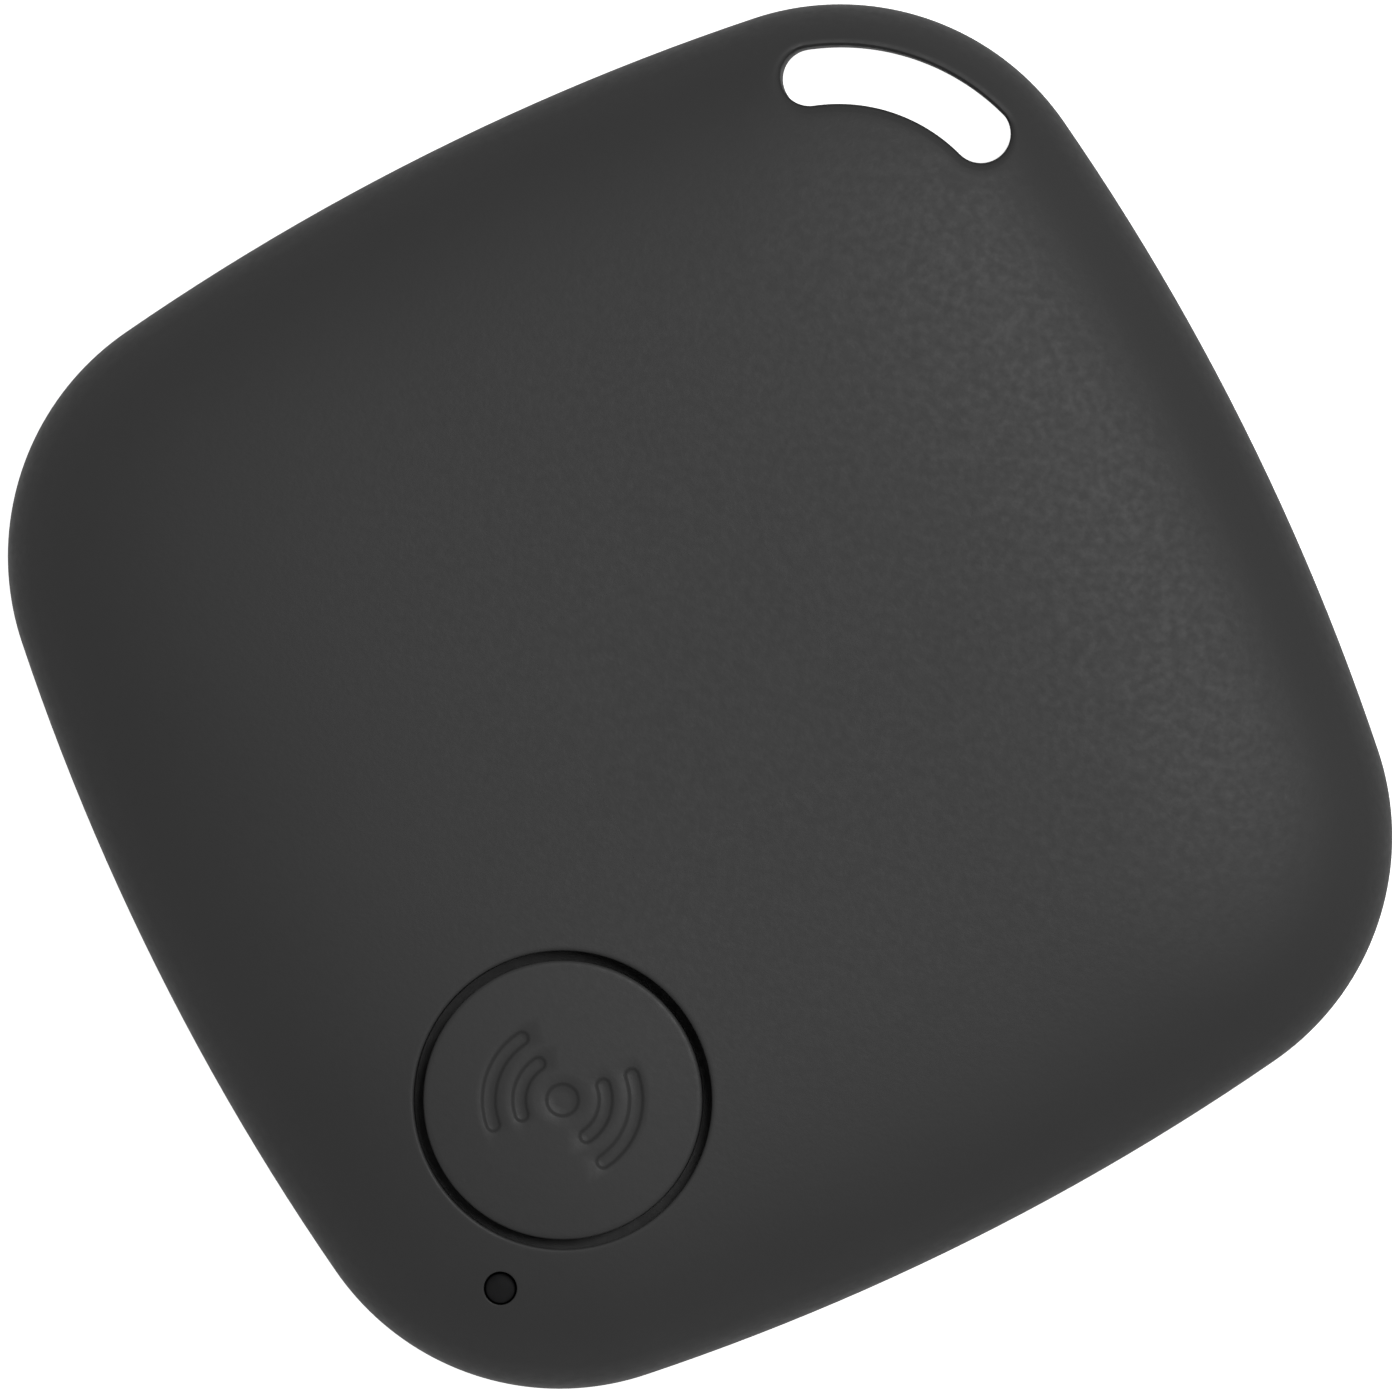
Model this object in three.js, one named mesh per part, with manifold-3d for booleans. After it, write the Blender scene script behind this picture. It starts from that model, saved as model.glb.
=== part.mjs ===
// A Bluetooth tracker tag: a pillow-shaped rounded square, worn on one corner by a curved slot.
// Units are millimetres. +Z points out of the front face, +Y towards the slotted corner, and the
// origin is the centre of the flat back. Two shells close on a circuit board with a round cut-out
// for a coin cell. A push button in the front shell works a tact switch on the board.
import * as THREE from "three";
import { mergeVertices } from "three/addons/utils/BufferGeometryUtils.js";
import Module from "manifold-3d";

const wasm = await Module();
wasm.setup();

// ---- driving dimensions ----------------------------------------------------------------------

const HALF_WIDTH = 19; // centre to the middle of a side
const SIDE_RADIUS = 78.5; // the sides bow outwards
const CORNER_RADIUS = 8.5;
const THICKNESS = 6.6;
const PARTING_Z = 2.4; // where the two shells meet
const WALL = 1.2; // side wall of the front shell
const CEILING = 1.0; // thickness of the front shell's face
const FLOOR = 0.8; // thickness of the rear shell's back
const FIT = 0.05; // clearance between parts that plug together
const SKIN = 0.03; // glue or contact gap between parts that touch

// The front is a superellipse in section: FULLNESS flattens its middle, ROUNDNESS tightens its rim.
const FULLNESS = 4;
const ROUNDNESS = 3;
const FLAT_BACK = 0.8; // share of the outline that the flat back covers

const SLOT_ARC = 6.25; // radius of the slot's centreline, about the corner's own centre
const SLOT_HALF_WIDTH = 0.92;
const SLOT_HALF_ANGLE = THREE.MathUtils.degToRad(26.8);
const SLOT_COLLAR = 0.95; // wall around the slot

const LIP_HEIGHT = 0.9; // rear shell's lip, above the parting plane
const LIP_WALL = 0.7;

const BUTTON_Y = -13.3;
const BUTTON_RADIUS = 4.36;
const BUTTON_BORE = 4.66;
const BUTTON_TRAVEL = 0.25;
const FLANGE_RADIUS = 5.0;
const FLANGE_THICKNESS = 0.4;
const SEAT_Z = 4.75; // flat seat under the front shell that stops the button's flange
const SEAT_RADIUS = BUTTON_BORE + 1.3;

const PINHOLE_Y = -19.5;
const PINHOLE_RADIUS = 0.52;
const PIPE_RADIUS = 0.46;

const BOARD_Z = 1.5; // underside of the board, on the rear shell's ledge
const BOARD_THICKNESS = 0.8;
const BOARD_TOP = BOARD_Z + BOARD_THICKNESS;
const CELL_Y = 4;
const CELL_RADIUS = 10; // CR2032: 20 mm by 3.2 mm
const CELL_HEIGHT = 3.2;
const CELL_Z = 1.15;
const CELL_TOP = CELL_Z + CELL_HEIGHT;
const CELL_HOLE = CELL_RADIUS + 0.4;
const CELL_SEAT_OUTER = 10.1;
const CELL_SEAT_INNER = 8.7;
const FOAM_RADIUS = 6.5;

const POST_RADIUS = 0.6; // two posts on the rear shell locate the board
const POST_TOP = BOARD_TOP + 0.9;
const POST_FOOT_RADIUS = 1.2;
const BOSS_RADIUS = 1.3;
const POSTS = [-8.6, 8.6].map((x) => ({ x, y: -9.6 }));

// ---- materials -------------------------------------------------------------------------------

const material = (color, roughness, metalness = 0) =>
  new THREE.MeshStandardMaterial({ color, roughness, metalness });

const shellPlastic = material(0x3a3a3b, 0.55);
const buttonPlastic = material(0x3c3c3d, 0.5);
const smokedAcrylic = material(0x2a2a2c, 0.2);
const solderMask = material(0x14301f, 0.45);
const springSteel = material(0xb9b9b4, 0.3, 1);
const cellSteel = material(0xc4c5c6, 0.25, 1);
const gasketPlastic = material(0x20221f, 0.6);
const blackEpoxy = material(0x161617, 0.6);
const ceramic = material(0x8f7b61, 0.7);
const copper = material(0xb06a3a, 0.35, 1);
const ferrite = material(0x3b3b3e, 0.5, 0.4);
const foam = material(0x29292b, 0.95);
const cellPowder = material(0x2c2c2c, 0.9);
const lithium = material(0x9c9d9e, 0.5, 0.8);
const separatorFilm = material(0xe6e6e0, 0.8);
const diffuser = material(0xe9e6c8, 0.5);

// ---- solids ----------------------------------------------------------------------------------

// A closed three.js geometry as a manifold solid.
function solid(geometry) {
  const bare = new THREE.BufferGeometry();
  bare.setAttribute("position", geometry.getAttribute("position"));
  bare.setIndex(geometry.getIndex());
  const merged = mergeVertices(bare, 1e-5);
  return new wasm.Manifold(
    new wasm.Mesh({
      numProp: 3,
      vertProperties: merged.getAttribute("position").array,
      triVerts: new Uint32Array(merged.getIndex().array),
    }),
  );
}

function geometryOf(made) {
  const { vertProperties, triVerts } = made.getMesh();
  const geometry = new THREE.BufferGeometry();
  geometry.setAttribute("position", new THREE.BufferAttribute(vertProperties, 3));
  geometry.setIndex(new THREE.BufferAttribute(triVerts, 1));
  geometry.computeVertexNormals();
  return geometry;
}

// A named mesh from a three.js geometry or a manifold solid.
function piece(name, shape, finish) {
  const mesh = new THREE.Mesh(shape.isBufferGeometry ? shape : geometryOf(shape), finish);
  mesh.name = name;
  return mesh;
}

function group(...children) {
  return new THREE.Group().add(...children);
}

// Points along a circular arc, without its last point. It runs clockwise where "to" is below "from".
function arc(x, y, radius, from, to, steps) {
  const curve = new THREE.EllipseCurve(x, y, radius, radius, from, to, to < from);
  return curve.getPoints(steps).slice(0, -1);
}

const circle = (x, y, radius, steps = 48) => arc(x, y, radius, 0, 2 * Math.PI, steps);

// A curved band with round ends, along an arc from one angle anticlockwise to the other.
function arcBand(x, y, radius, halfWidth, from, to, steps = 12) {
  const startX = x + radius * Math.cos(from);
  const startY = y + radius * Math.sin(from);
  const endX = x + radius * Math.cos(to);
  const endY = y + radius * Math.sin(to);
  return [
    ...arc(x, y, radius + halfWidth, from, to, steps),
    ...arc(endX, endY, halfWidth, to, to + Math.PI, steps),
    ...arc(x, y, radius - halfWidth, to, from, steps),
    ...arc(startX, startY, halfWidth, from + Math.PI, from + 2 * Math.PI, steps),
  ];
}

// An upright prism over a closed outline, with optional holes.
function prism(points, bottom, top, holes = []) {
  const shape = new THREE.Shape(points);
  shape.holes = holes.map((hole) => new THREE.Path(hole));
  const depth = top - bottom;
  const geometry = new THREE.ExtrudeGeometry(shape, { depth, bevelEnabled: false });
  return solid(geometry.translate(0, 0, bottom));
}

function box(width, length, height, x = 0, y = 0, bottom = 0) {
  const geometry = new THREE.BoxGeometry(width, length, height);
  return solid(geometry.translate(x, y, bottom + height / 2));
}

// A solid of revolution about Z from [radius, z] pairs that run anticlockwise and close on themselves.
function turned(profile, steps = 48) {
  const loop = [...profile, profile[0]].map(([radius, z]) => new THREE.Vector2(radius, z));
  return solid(new THREE.LatheGeometry(loop, steps).rotateX(Math.PI / 2));
}

const disc = (radius, bottom, top, steps = 48) => prism(circle(0, 0, radius, steps), bottom, top);

// A closed skin over outlines stacked upwards: [{ points, z }], each with the same number of points.
function loft(rings) {
  const count = rings[0].points.length;
  const positions = rings.flatMap(({ points, z }) => points.flatMap((p) => [p.x, p.y, z]));
  const bottom = positions.push(0, 0, rings[0].z) / 3 - 1;
  const top = positions.push(0, 0, rings.at(-1).z) / 3 - 1;
  const index = [];
  for (let i = 0; i < count; i += 1) {
    const next = (i + 1) % count;
    index.push(bottom, next, i);
    for (let ring = 0; ring < rings.length - 1; ring += 1) {
      const low = ring * count;
      const high = low + count;
      index.push(low + i, low + next, high + next, low + i, high + next, high + i);
    }
    const last = (rings.length - 1) * count;
    index.push(top, last + i, last + next);
  }
  const geometry = new THREE.BufferGeometry();
  geometry.setAttribute("position", new THREE.Float32BufferAttribute(positions, 3));
  geometry.setIndex(index);
  return solid(geometry);
}

// ---- the outline -----------------------------------------------------------------------------

// Corners point along X and Y. Each corner arc is tangent to the long arcs of its two sides.
const SIDE_CENTRE = SIDE_RADIUS - HALF_WIDTH;
const SIDE_LEG = SIDE_CENTRE * Math.SQRT1_2;
const CORNER_CENTRE = Math.sqrt((SIDE_RADIUS - CORNER_RADIUS) ** 2 - SIDE_LEG ** 2) - SIDE_LEG;
const CORNER_SPREAD = Math.atan2(SIDE_LEG, CORNER_CENTRE + SIDE_LEG);
const CORNER_STEPS = 10;
const SIDE_STEPS = 6;

// The outline, moved inwards by inset.
function outline(inset = 0) {
  return [0, 1, 2, 3].flatMap((corner) => {
    const axis = (corner * Math.PI) / 2;
    const side = axis + Math.PI / 4;
    const nextCorner = axis + Math.PI / 2;
    const cornerX = CORNER_CENTRE * Math.cos(axis);
    const cornerY = CORNER_CENTRE * Math.sin(axis);
    const sideX = -SIDE_CENTRE * Math.cos(side);
    const sideY = -SIDE_CENTRE * Math.sin(side);
    const start = axis - CORNER_SPREAD;
    const join = axis + CORNER_SPREAD;
    const end = nextCorner - CORNER_SPREAD;
    return [
      ...arc(cornerX, cornerY, CORNER_RADIUS - inset, start, join, CORNER_STEPS),
      ...arc(sideX, sideY, SIDE_RADIUS - inset, join, end, SIDE_STEPS),
    ];
  });
}

const scaled = (share) => outline().map((p) => p.clone().multiplyScalar(share));

// The curved slot, or a band around it, concentric with the top corner.
function slotBand(halfWidth) {
  const right = Math.PI / 2 - SLOT_HALF_ANGLE;
  const left = Math.PI / 2 + SLOT_HALF_ANGLE;
  return arcBand(0, CORNER_CENTRE, SLOT_ARC, halfWidth, right, left);
}

const COLLAR_HALF_WIDTH = SLOT_HALF_WIDTH + SLOT_COLLAR;

// Height of the front face over a point at this share of the way from the centre to the outline.
function frontHeight(share) {
  return PARTING_Z + (THICKNESS - PARTING_Z) * (1 - share ** FULLNESS) ** (1 / ROUNDNESS);
}

// Shares at which the lofted skins have a ring, from the rim inwards.
const RIM_SHARES = [0.997, 0.985, 0.965];
const FACE_SHARES = [0.93, 0.88, 0.82, 0.74, 0.64, 0.52, 0.36, 0.18];

// ---- front cover -----------------------------------------------------------------------------

// The whole front half, filled in.
function frontBody(lift = 0) {
  const rings = [1, ...RIM_SHARES, ...FACE_SHARES].map((share) => ({
    points: scaled(share),
    z: frontHeight(share) + lift,
  }));
  return loft(rings);
}

// The space inside the front shell: an upright wall, then a ceiling parallel to the face.
function frontCavity(drop = 0) {
  const wallShare = 1 - WALL / HALF_WIDTH;
  const rings = [
    { points: outline(WALL), z: PARTING_Z - 1 },
    { points: outline(WALL), z: frontHeight(wallShare) - CEILING - drop },
  ];
  for (const share of FACE_SHARES.filter((s) => s < 0.9)) {
    rings.push({ points: scaled(share), z: frontHeight(share) - CEILING - drop });
  }
  return loft(rings);
}

// Key ribs hold the ears of the button's flange, so that the button can't turn.
const EAR_HALF_WIDTH = 0.8;
const EAR_LENGTH = 0.7;
const KEY_RIB_WIDTH = 0.6;
const KEY_RIB_GAP = 0.15;
const KEY_RIB_HEIGHT = 1.2; // half of it is sunk in the seat
const SEAT_MARGIN = 0.25;

function keyRibs() {
  const ribs = [];
  for (const sideX of [-1, 1]) {
    for (const sideY of [-1, 1]) {
      const x = sideX * (FLANGE_RADIUS + SEAT_MARGIN + EAR_LENGTH / 2);
      const y = BUTTON_Y + sideY * (EAR_HALF_WIDTH + KEY_RIB_GAP + KEY_RIB_WIDTH / 2);
      ribs.push(box(EAR_LENGTH, KEY_RIB_WIDTH, KEY_RIB_HEIGHT, x, y, SEAT_Z - KEY_RIB_HEIGHT / 2));
    }
  }
  return ribs;
}

// Bosses that slip over the rear shell's posts and end just above the board, to keep it down.
function holdDowns() {
  const bosses = POSTS.map(({ x, y }) => prism(circle(x, y, BOSS_RADIUS, 24), PARTING_Z, THICKNESS));
  const bores = POSTS.map(({ x, y }) => prism(circle(x, y, POST_RADIUS + FIT, 24), 0, POST_TOP + 0.2));
  return wasm.Manifold.union(bosses).subtract(wasm.Manifold.union(bores));
}

function frontShell() {
  const body = frontBody();
  const button = (radius, bottom, top) => prism(circle(0, BUTTON_Y, radius), bottom, top);
  const collar = prism(slotBand(COLLAR_HALF_WIDTH), PARTING_Z, THICKNESS).intersect(body);
  const seat = button(SEAT_RADIUS, SEAT_Z, THICKNESS).intersect(body);
  const flangeRoom = button(FLANGE_RADIUS + SEAT_MARGIN, PARTING_Z - 1, SEAT_Z);
  const earRoomLength = 13.6;
  const earRoomWidth = 2 * (EAR_HALF_WIDTH + KEY_RIB_GAP);
  const earRoom = box(earRoomLength, earRoomWidth, 2, 0, BUTTON_Y, SEAT_Z - 2);
  return body
    .subtract(frontCavity())
    .add(collar)
    .add(seat)
    .add(wasm.Manifold.union([...keyRibs(), holdDowns()]).intersect(body))
    .subtract(flangeRoom)
    .subtract(earRoom)
    .subtract(button(BUTTON_BORE, 0, THICKNESS))
    .subtract(prism(slotBand(SLOT_HALF_WIDTH), 0, THICKNESS + 1))
    .subtract(prism(circle(0, PINHOLE_Y, PINHOLE_RADIUS, 24), 0, THICKNESS));
}

// A disc of foam under the face, which keeps the coin cell down.
function foamPad() {
  const pad = prism(circle(0, CELL_Y, FOAM_RADIUS), CELL_TOP + SKIN, THICKNESS);
  return pad.intersect(frontCavity(SKIN));
}

const PIPE_RECESS = 0.18;
const PIPE_FLANGE_RADIUS = 0.8;
const PIPE_FLANGE_TOP = 4.25;
const PIPE_FLANGE_THICKNESS = 0.35;
const PIPE_BOTTOM = 2.95;

// The light guide between the LED and the pinhole, with a small flange glued under the face.
function lightPipe() {
  const tipShare = -PINHOLE_Y / (CORNER_CENTRE + CORNER_RADIUS);
  const top = frontHeight(tipShare) - PIPE_RECESS;
  const flangeBottom = PIPE_FLANGE_TOP - PIPE_FLANGE_THICKNESS;
  const rod = disc(PIPE_RADIUS, PIPE_BOTTOM, top, 24);
  return rod.add(disc(PIPE_FLANGE_RADIUS, flangeBottom, PIPE_FLANGE_TOP, 24));
}

// ---- button ----------------------------------------------------------------------------------

const PLUNGER_TOP = BOARD_TOP + 1.8;
const CAP_POST_RADIUS = 0.9;
const RECESS_INNER = 1.6; // a ring moulded out of the cap's underside
const RECESS_OUTER = 3.3;
const MARK_STROKE = 0.42;
const MARK_DEPTH = 0.12;
const MARK_HALF_ANGLE = THREE.MathUtils.degToRad(38);
const MARK_RADII = [1.35, 2.3];
const MARK_DOT = 0.5;

// A generic locating mark, sunk into the cap's face: a dot between two pairs of arcs.
function locatingMark() {
  const strokes = [prism(circle(0, BUTTON_Y, MARK_DOT, 24), PARTING_Z, THICKNESS)];
  for (const radius of MARK_RADII) {
    for (const facing of [0, Math.PI]) {
      const start = facing - MARK_HALF_ANGLE;
      const end = facing + MARK_HALF_ANGLE;
      const band = arcBand(0, BUTTON_Y, radius, MARK_STROKE / 2, start, end);
      strokes.push(prism(band, PARTING_Z, THICKNESS));
    }
  }
  return wasm.Manifold.union(strokes).subtract(frontBody(-MARK_DEPTH));
}

// The cap's face follows the front shell's curve. Its flange sits under the shell and its post
// stands on the switch's plunger.
function buttonCap() {
  const flangeTop = SEAT_Z - 0.1;
  const flangeBottom = flangeTop - FLANGE_THICKNESS;
  const at = (radius, bottom, top) => prism(circle(0, BUTTON_Y, radius), bottom, top);
  const earSpan = 2 * (FLANGE_RADIUS + EAR_LENGTH);
  const ears = box(earSpan, 2 * EAR_HALF_WIDTH, FLANGE_THICKNESS, 0, BUTTON_Y, flangeBottom);
  const post = at(CAP_POST_RADIUS, PLUNGER_TOP + SKIN, flangeTop);
  const hub = at(RECESS_INNER, 0, THICKNESS);
  const recess = at(RECESS_OUTER, flangeBottom, flangeTop + 0.3).subtract(hub);
  return at(BUTTON_RADIUS, flangeBottom, THICKNESS)
    .intersect(frontBody())
    .add(at(FLANGE_RADIUS, flangeBottom, flangeTop))
    .add(ears)
    .subtract(recess)
    .add(post)
    .subtract(locatingMark());
}

// ---- rear shell ------------------------------------------------------------------------------

const POCKET_INSET = WALL + FIT + LIP_WALL; // inner face of the lip, and of the board's pocket
const LEDGE_INSET = POCKET_INSET + 1.25; // inner edge of the ledge that carries the board

function rearBody() {
  const steps = 7;
  const rings = [];
  for (let step = 0; step <= steps; step += 1) {
    const angle = (step / steps) * (Math.PI / 2);
    const share = FLAT_BACK + (1 - FLAT_BACK) * Math.sin(angle);
    rings.push({ points: scaled(share), z: PARTING_Z * (1 - Math.cos(angle)) });
  }
  return loft(rings);
}

// The ring that plugs into the front shell, left open where the front shell's collar comes down.
function lip() {
  const top = PARTING_Z + LIP_HEIGHT;
  const ring = prism(outline(WALL + FIT), PARTING_Z - 0.5, top, [outline(POCKET_INSET)]);
  return ring.subtract(prism(slotBand(COLLAR_HALF_WIDTH + 2 * FIT), PARTING_Z, top + 1));
}

// A low ring that the coin cell stands on, with a channel for the leaf spring.
function cellSeat() {
  const inner = circle(0, CELL_Y, CELL_SEAT_INNER);
  const ring = prism(circle(0, CELL_Y, CELL_SEAT_OUTER), FLOOR - 0.1, CELL_Z - SKIN, [inner]);
  const channelWidth = 4.6;
  return ring.subtract(box(channelWidth, 3 * CELL_RADIUS, 2, 0, CELL_Y, 0));
}

function rearShell() {
  const pocket = prism(outline(POCKET_INSET), BOARD_Z, PARTING_Z + 2);
  const well = prism(outline(LEDGE_INSET), FLOOR, PARTING_Z);
  const collarTop = PARTING_Z - SKIN;
  const collar = prism(slotBand(COLLAR_HALF_WIDTH), FLOOR - 0.2, collarTop).intersect(rearBody());
  const switchRest = prism(circle(0, BUTTON_Y, 1.8, 32), FLOOR - 0.1, BOARD_Z - SKIN);
  const pryNotch = box(5, 2.2, 0.5, 0, -(CORNER_CENTRE + CORNER_RADIUS), PARTING_Z - 0.5);
  const posts = POSTS.flatMap(({ x, y }) => [
    prism(circle(x, y, POST_FOOT_RADIUS, 24), FLOOR - 0.1, BOARD_Z - SKIN),
    prism(circle(x, y, POST_RADIUS, 24), FLOOR, POST_TOP),
  ]);
  return rearBody()
    .add(lip())
    .subtract(pocket)
    .subtract(well)
    .add(collar)
    .add(cellSeat())
    .add(switchRest)
    .add(wasm.Manifold.union(posts))
    .subtract(prism(slotBand(SLOT_HALF_WIDTH), -1, PARTING_Z + 2))
    .subtract(pryNotch);
}

// ---- circuit board and its parts ---------------------------------------------------------------

function circuitBoard() {
  const postHoles = POSTS.map(({ x, y }) => circle(x, y, POST_RADIUS + 2 * FIT, 24));
  const holes = [circle(0, CELL_Y, CELL_HOLE, 64), ...postHoles];
  const blank = prism(outline(POCKET_INSET + 0.15), 0, BOARD_THICKNESS, holes);
  return blank.subtract(prism(slotBand(COLLAR_HALF_WIDTH + 0.2), -1, 2));
}

// A blade at the edge of the cut-out that presses on the can's side wall, folded from one strip.
// It is made in section, along +X from the can, and extruded to its width.
function positiveContact() {
  const sheet = 0.15;
  const width = 5;
  const lift = 0.02; // solder under the foot
  const profile = [
    [0.45, lift],
    [2.4, lift],
    [2.4, lift + sheet],
    [0.6, lift + sheet],
    [0.2, 1.1],
    [0.55, 1.85],
    [0.42, 1.92],
    [0.05, 1.12],
  ].map(([x, z]) => new THREE.Vector2(x, z));
  const strip = new THREE.ExtrudeGeometry(new THREE.Shape(profile), { depth: width, bevelEnabled: false });
  return solid(strip.rotateX(Math.PI / 2).translate(0, width / 2, 0));
}

// The leaf spring under the cell: a foot soldered below the board, a step down to the floor and a
// bow that touches the cell's cap. The path is its top face, as [y, z].
function negativeContact() {
  const sheet = 0.12;
  const width = 3.5;
  const rest = FLOOR + sheet + 0.01;
  const path = [
    [-9.6, BOARD_Z - 0.02],
    [-7.2, BOARD_Z - 0.02],
    [-6.2, rest],
    [0.5, rest],
    [2.6, CELL_Z - SKIN],
    [5.4, CELL_Z - SKIN],
    [7.5, rest],
    [8.8, rest],
  ];
  const top = path.map(([y, z]) => new THREE.Vector2(y, z));
  const bottom = path.map(([y, z]) => new THREE.Vector2(y, z - sheet));
  const section = new THREE.Shape([...bottom, ...top.reverse()]);
  const strip = new THREE.ExtrudeGeometry(section, { depth: width, bevelEnabled: false });
  return solid(strip.rotateX(Math.PI / 2).rotateZ(Math.PI / 2).translate(-width / 2, 0, 0));
}

// ---- coin cell ---------------------------------------------------------------------------------

function coinCell() {
  const can = turned([
    [9.35, 0.2],
    [9.6, 0.08],
    [10, 0.3],
    [10, CELL_HEIGHT - 0.3],
    [9.7, CELL_HEIGHT],
    [0, CELL_HEIGHT],
    [0, CELL_HEIGHT - 0.25],
    [9.7, CELL_HEIGHT - 0.25],
    [9.7, 0.4],
  ]);
  const gasket = turned([
    [9.0, 0.12],
    [9.3, 0.16],
    [9.65, 0.42],
    [9.65, 2.6],
    [9.1, 2.6],
    [9.1, 2.35],
    [9.0, 2.35],
  ]);
  const cap = turned([
    [0, 0],
    [8.6, 0],
    [8.95, 0.3],
    [8.95, 2.3],
    [8.7, 2.3],
    [8.7, 0.45],
    [8.5, 0.25],
    [0, 0.25],
  ]);
  const cell = group(
    piece("battery_can", can, cellSteel),
    piece("battery_gasket", gasket, gasketPlastic),
    piece("battery_cap", cap, cellSteel),
    piece("battery_anode", disc(8.3, 0.28, 0.9), lithium),
    piece("battery_separator", disc(8.5, 0.93, 1.05), separatorFilm),
    piece("battery_cathode", disc(8.3, 1.08, 2.9), cellPowder),
  );
  cell.position.set(0, CELL_Y, CELL_Z);
  return cell;
}

// ---- tact switch -------------------------------------------------------------------------------

const SWITCH_SIDE = 4.5;
const SWITCH_BASE_HEIGHT = 1.05;

// One lead frame: a flat foot at each end of the base, joined along its side.
function switchLead(side) {
  const foot = (y) => box(0.9, 0.7, 0.15, side * (SWITCH_SIDE / 2 + 0.48), y, 0.02);
  const bar = box(0.15, 3.7, 0.15, side * (SWITCH_SIDE / 2 + 0.105), 0, 0.02);
  return bar.add(foot(-1.5)).add(foot(1.5));
}

function switchFrame() {
  const plate = box(SWITCH_SIDE, SWITCH_SIDE, 0.15, 0, 0, SWITCH_BASE_HEIGHT + 0.03);
  const leg = (side) =>
    box(2.2, 0.12, 0.8, 0, side * (SWITCH_SIDE / 2 + 0.09), SWITCH_BASE_HEIGHT - 0.62);
  const tab = (side) =>
    box(2.2, 0.2, 0.15, 0, side * (SWITCH_SIDE / 2 + 0.05), SWITCH_BASE_HEIGHT + 0.03);
  return plate.add(leg(-1)).add(leg(1)).add(tab(-1)).add(tab(1)).subtract(disc(1.15, 0, 3, 32));
}

// A snap dome: a shallow shell that stands on its rim.
function switchDome() {
  const sheet = 0.06;
  const radius = 1.75;
  const rise = 0.3;
  const base = 0.36;
  const steps = 6;
  const crown = (offset) =>
    Array.from({ length: steps + 1 }, (_, i) => {
      const share = i / steps;
      return [radius * share, base + offset + rise * (1 - share * share)];
    });
  return turned([...crown(0), ...crown(sheet).reverse()], 32);
}

function tactSwitch() {
  const well = disc(1.9, 0.34, 2, 32);
  const base = box(SWITCH_SIDE, SWITCH_SIDE, SWITCH_BASE_HEIGHT - 0.2, 0, 0, 0.2);
  const plunger = disc(1.5, 0.76, 1.02, 32).add(disc(1.0, 0.9, PLUNGER_TOP - BOARD_TOP, 32));
  const parts = group(
    piece("switch_base", base.subtract(well), blackEpoxy),
    piece("switch_lead_left", switchLead(-1), springSteel),
    piece("switch_lead_right", switchLead(1), springSteel),
    piece("switch_dome", switchDome(), springSteel),
    piece("switch_plunger", plunger, gasketPlastic),
    piece("switch_frame", switchFrame(), cellSteel),
  );
  parts.position.set(0, BUTTON_Y, 0);
  return parts;
}

// ---- buzzer ------------------------------------------------------------------------------------

// A magnetic sounder: the coil on the pole pulls the diaphragm against the ring magnet's bias.
function buzzer() {
  const side = 5;
  const wall = 0.3;
  const height = 2;
  const foot = 0.33; // the case stands on the base plate
  const inside = box(side - 2 * wall, side - 2 * wall, height - wall - foot, 0, 0, foot);
  const shell = box(side, side, height - foot, 0, 0, foot);
  const port = disc(0.5, 1, 3, 24);
  const parts = group(
    piece("buzzer_base", box(side, side, 0.3), solderMask),
    piece("buzzer_pole", disc(0.5, 0.32, 1.05, 24), springSteel),
    piece("buzzer_coil", prism(circle(0, 0, 1.35, 32), 0.35, 0.95, [circle(0, 0, 0.55, 32)]), copper),
    piece("buzzer_magnet", prism(circle(0, 0, 2.1, 32), 0.33, 1.15, [circle(0, 0, 1.5, 32)]), ferrite),
    piece("buzzer_diaphragm", disc(2.15, 1.2, 1.28, 32), springSteel),
    piece("buzzer_case", shell.subtract(inside).subtract(port), blackEpoxy),
  );
  parts.position.set(14.5, -0.2, 0);
  parts.rotation.z = Math.PI / 4;
  return parts;
}

// ---- small surface-mount parts -----------------------------------------------------------------

// [name, width, length, height, x, y, turn in degrees, finish]
const CHIPS = [
  ["bluetooth_chip", 4, 4, 0.8, -14.6, -0.6, 45, blackEpoxy],
  ["crystal", 3.2, 2.5, 0.7, -11.6, -5.3, 45, cellSteel],
  ["driver_transistor", 2.9, 1.3, 1.0, 11.3, -5.6, 45, blackEpoxy],
  ["flyback_diode", 1.7, 1.25, 0.8, 8.4, -7.2, 0, blackEpoxy],
  ["led", 1.6, 0.8, 0.45, 0, -19.3, 0, diffuser],
  ["resistor_1", 1.6, 0.8, 0.45, 5.2, -9.2, 90, blackEpoxy],
  ["resistor_2", 1.6, 0.8, 0.45, 3.5, -9.2, 90, blackEpoxy],
  ["resistor_3", 1.0, 0.5, 0.35, 3.2, -18.2, 0, blackEpoxy],
  ["capacitor_1", 1.6, 0.8, 0.8, -5.2, -9.2, 90, ceramic],
  ["capacitor_2", 1.6, 0.8, 0.8, -3.5, -9.2, 90, ceramic],
  ["capacitor_3", 1.0, 0.5, 0.5, -8.6, -6.7, 45, ceramic],
  ["capacitor_4", 1.0, 0.5, 0.5, -14.0, -4.6, 45, ceramic],
  ["capacitor_5", 1.0, 0.5, 0.5, -11.8, 8.9, -45, ceramic],
];
const SOLDER = 0.02;

function chips() {
  return CHIPS.map(([name, width, length, height, x, y, turn, finish]) => {
    const chip = piece(name, new THREE.BoxGeometry(width, length, height), finish);
    chip.position.set(x, y, SOLDER + height / 2);
    chip.rotation.z = THREE.MathUtils.degToRad(turn);
    return chip;
  });
}

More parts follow.
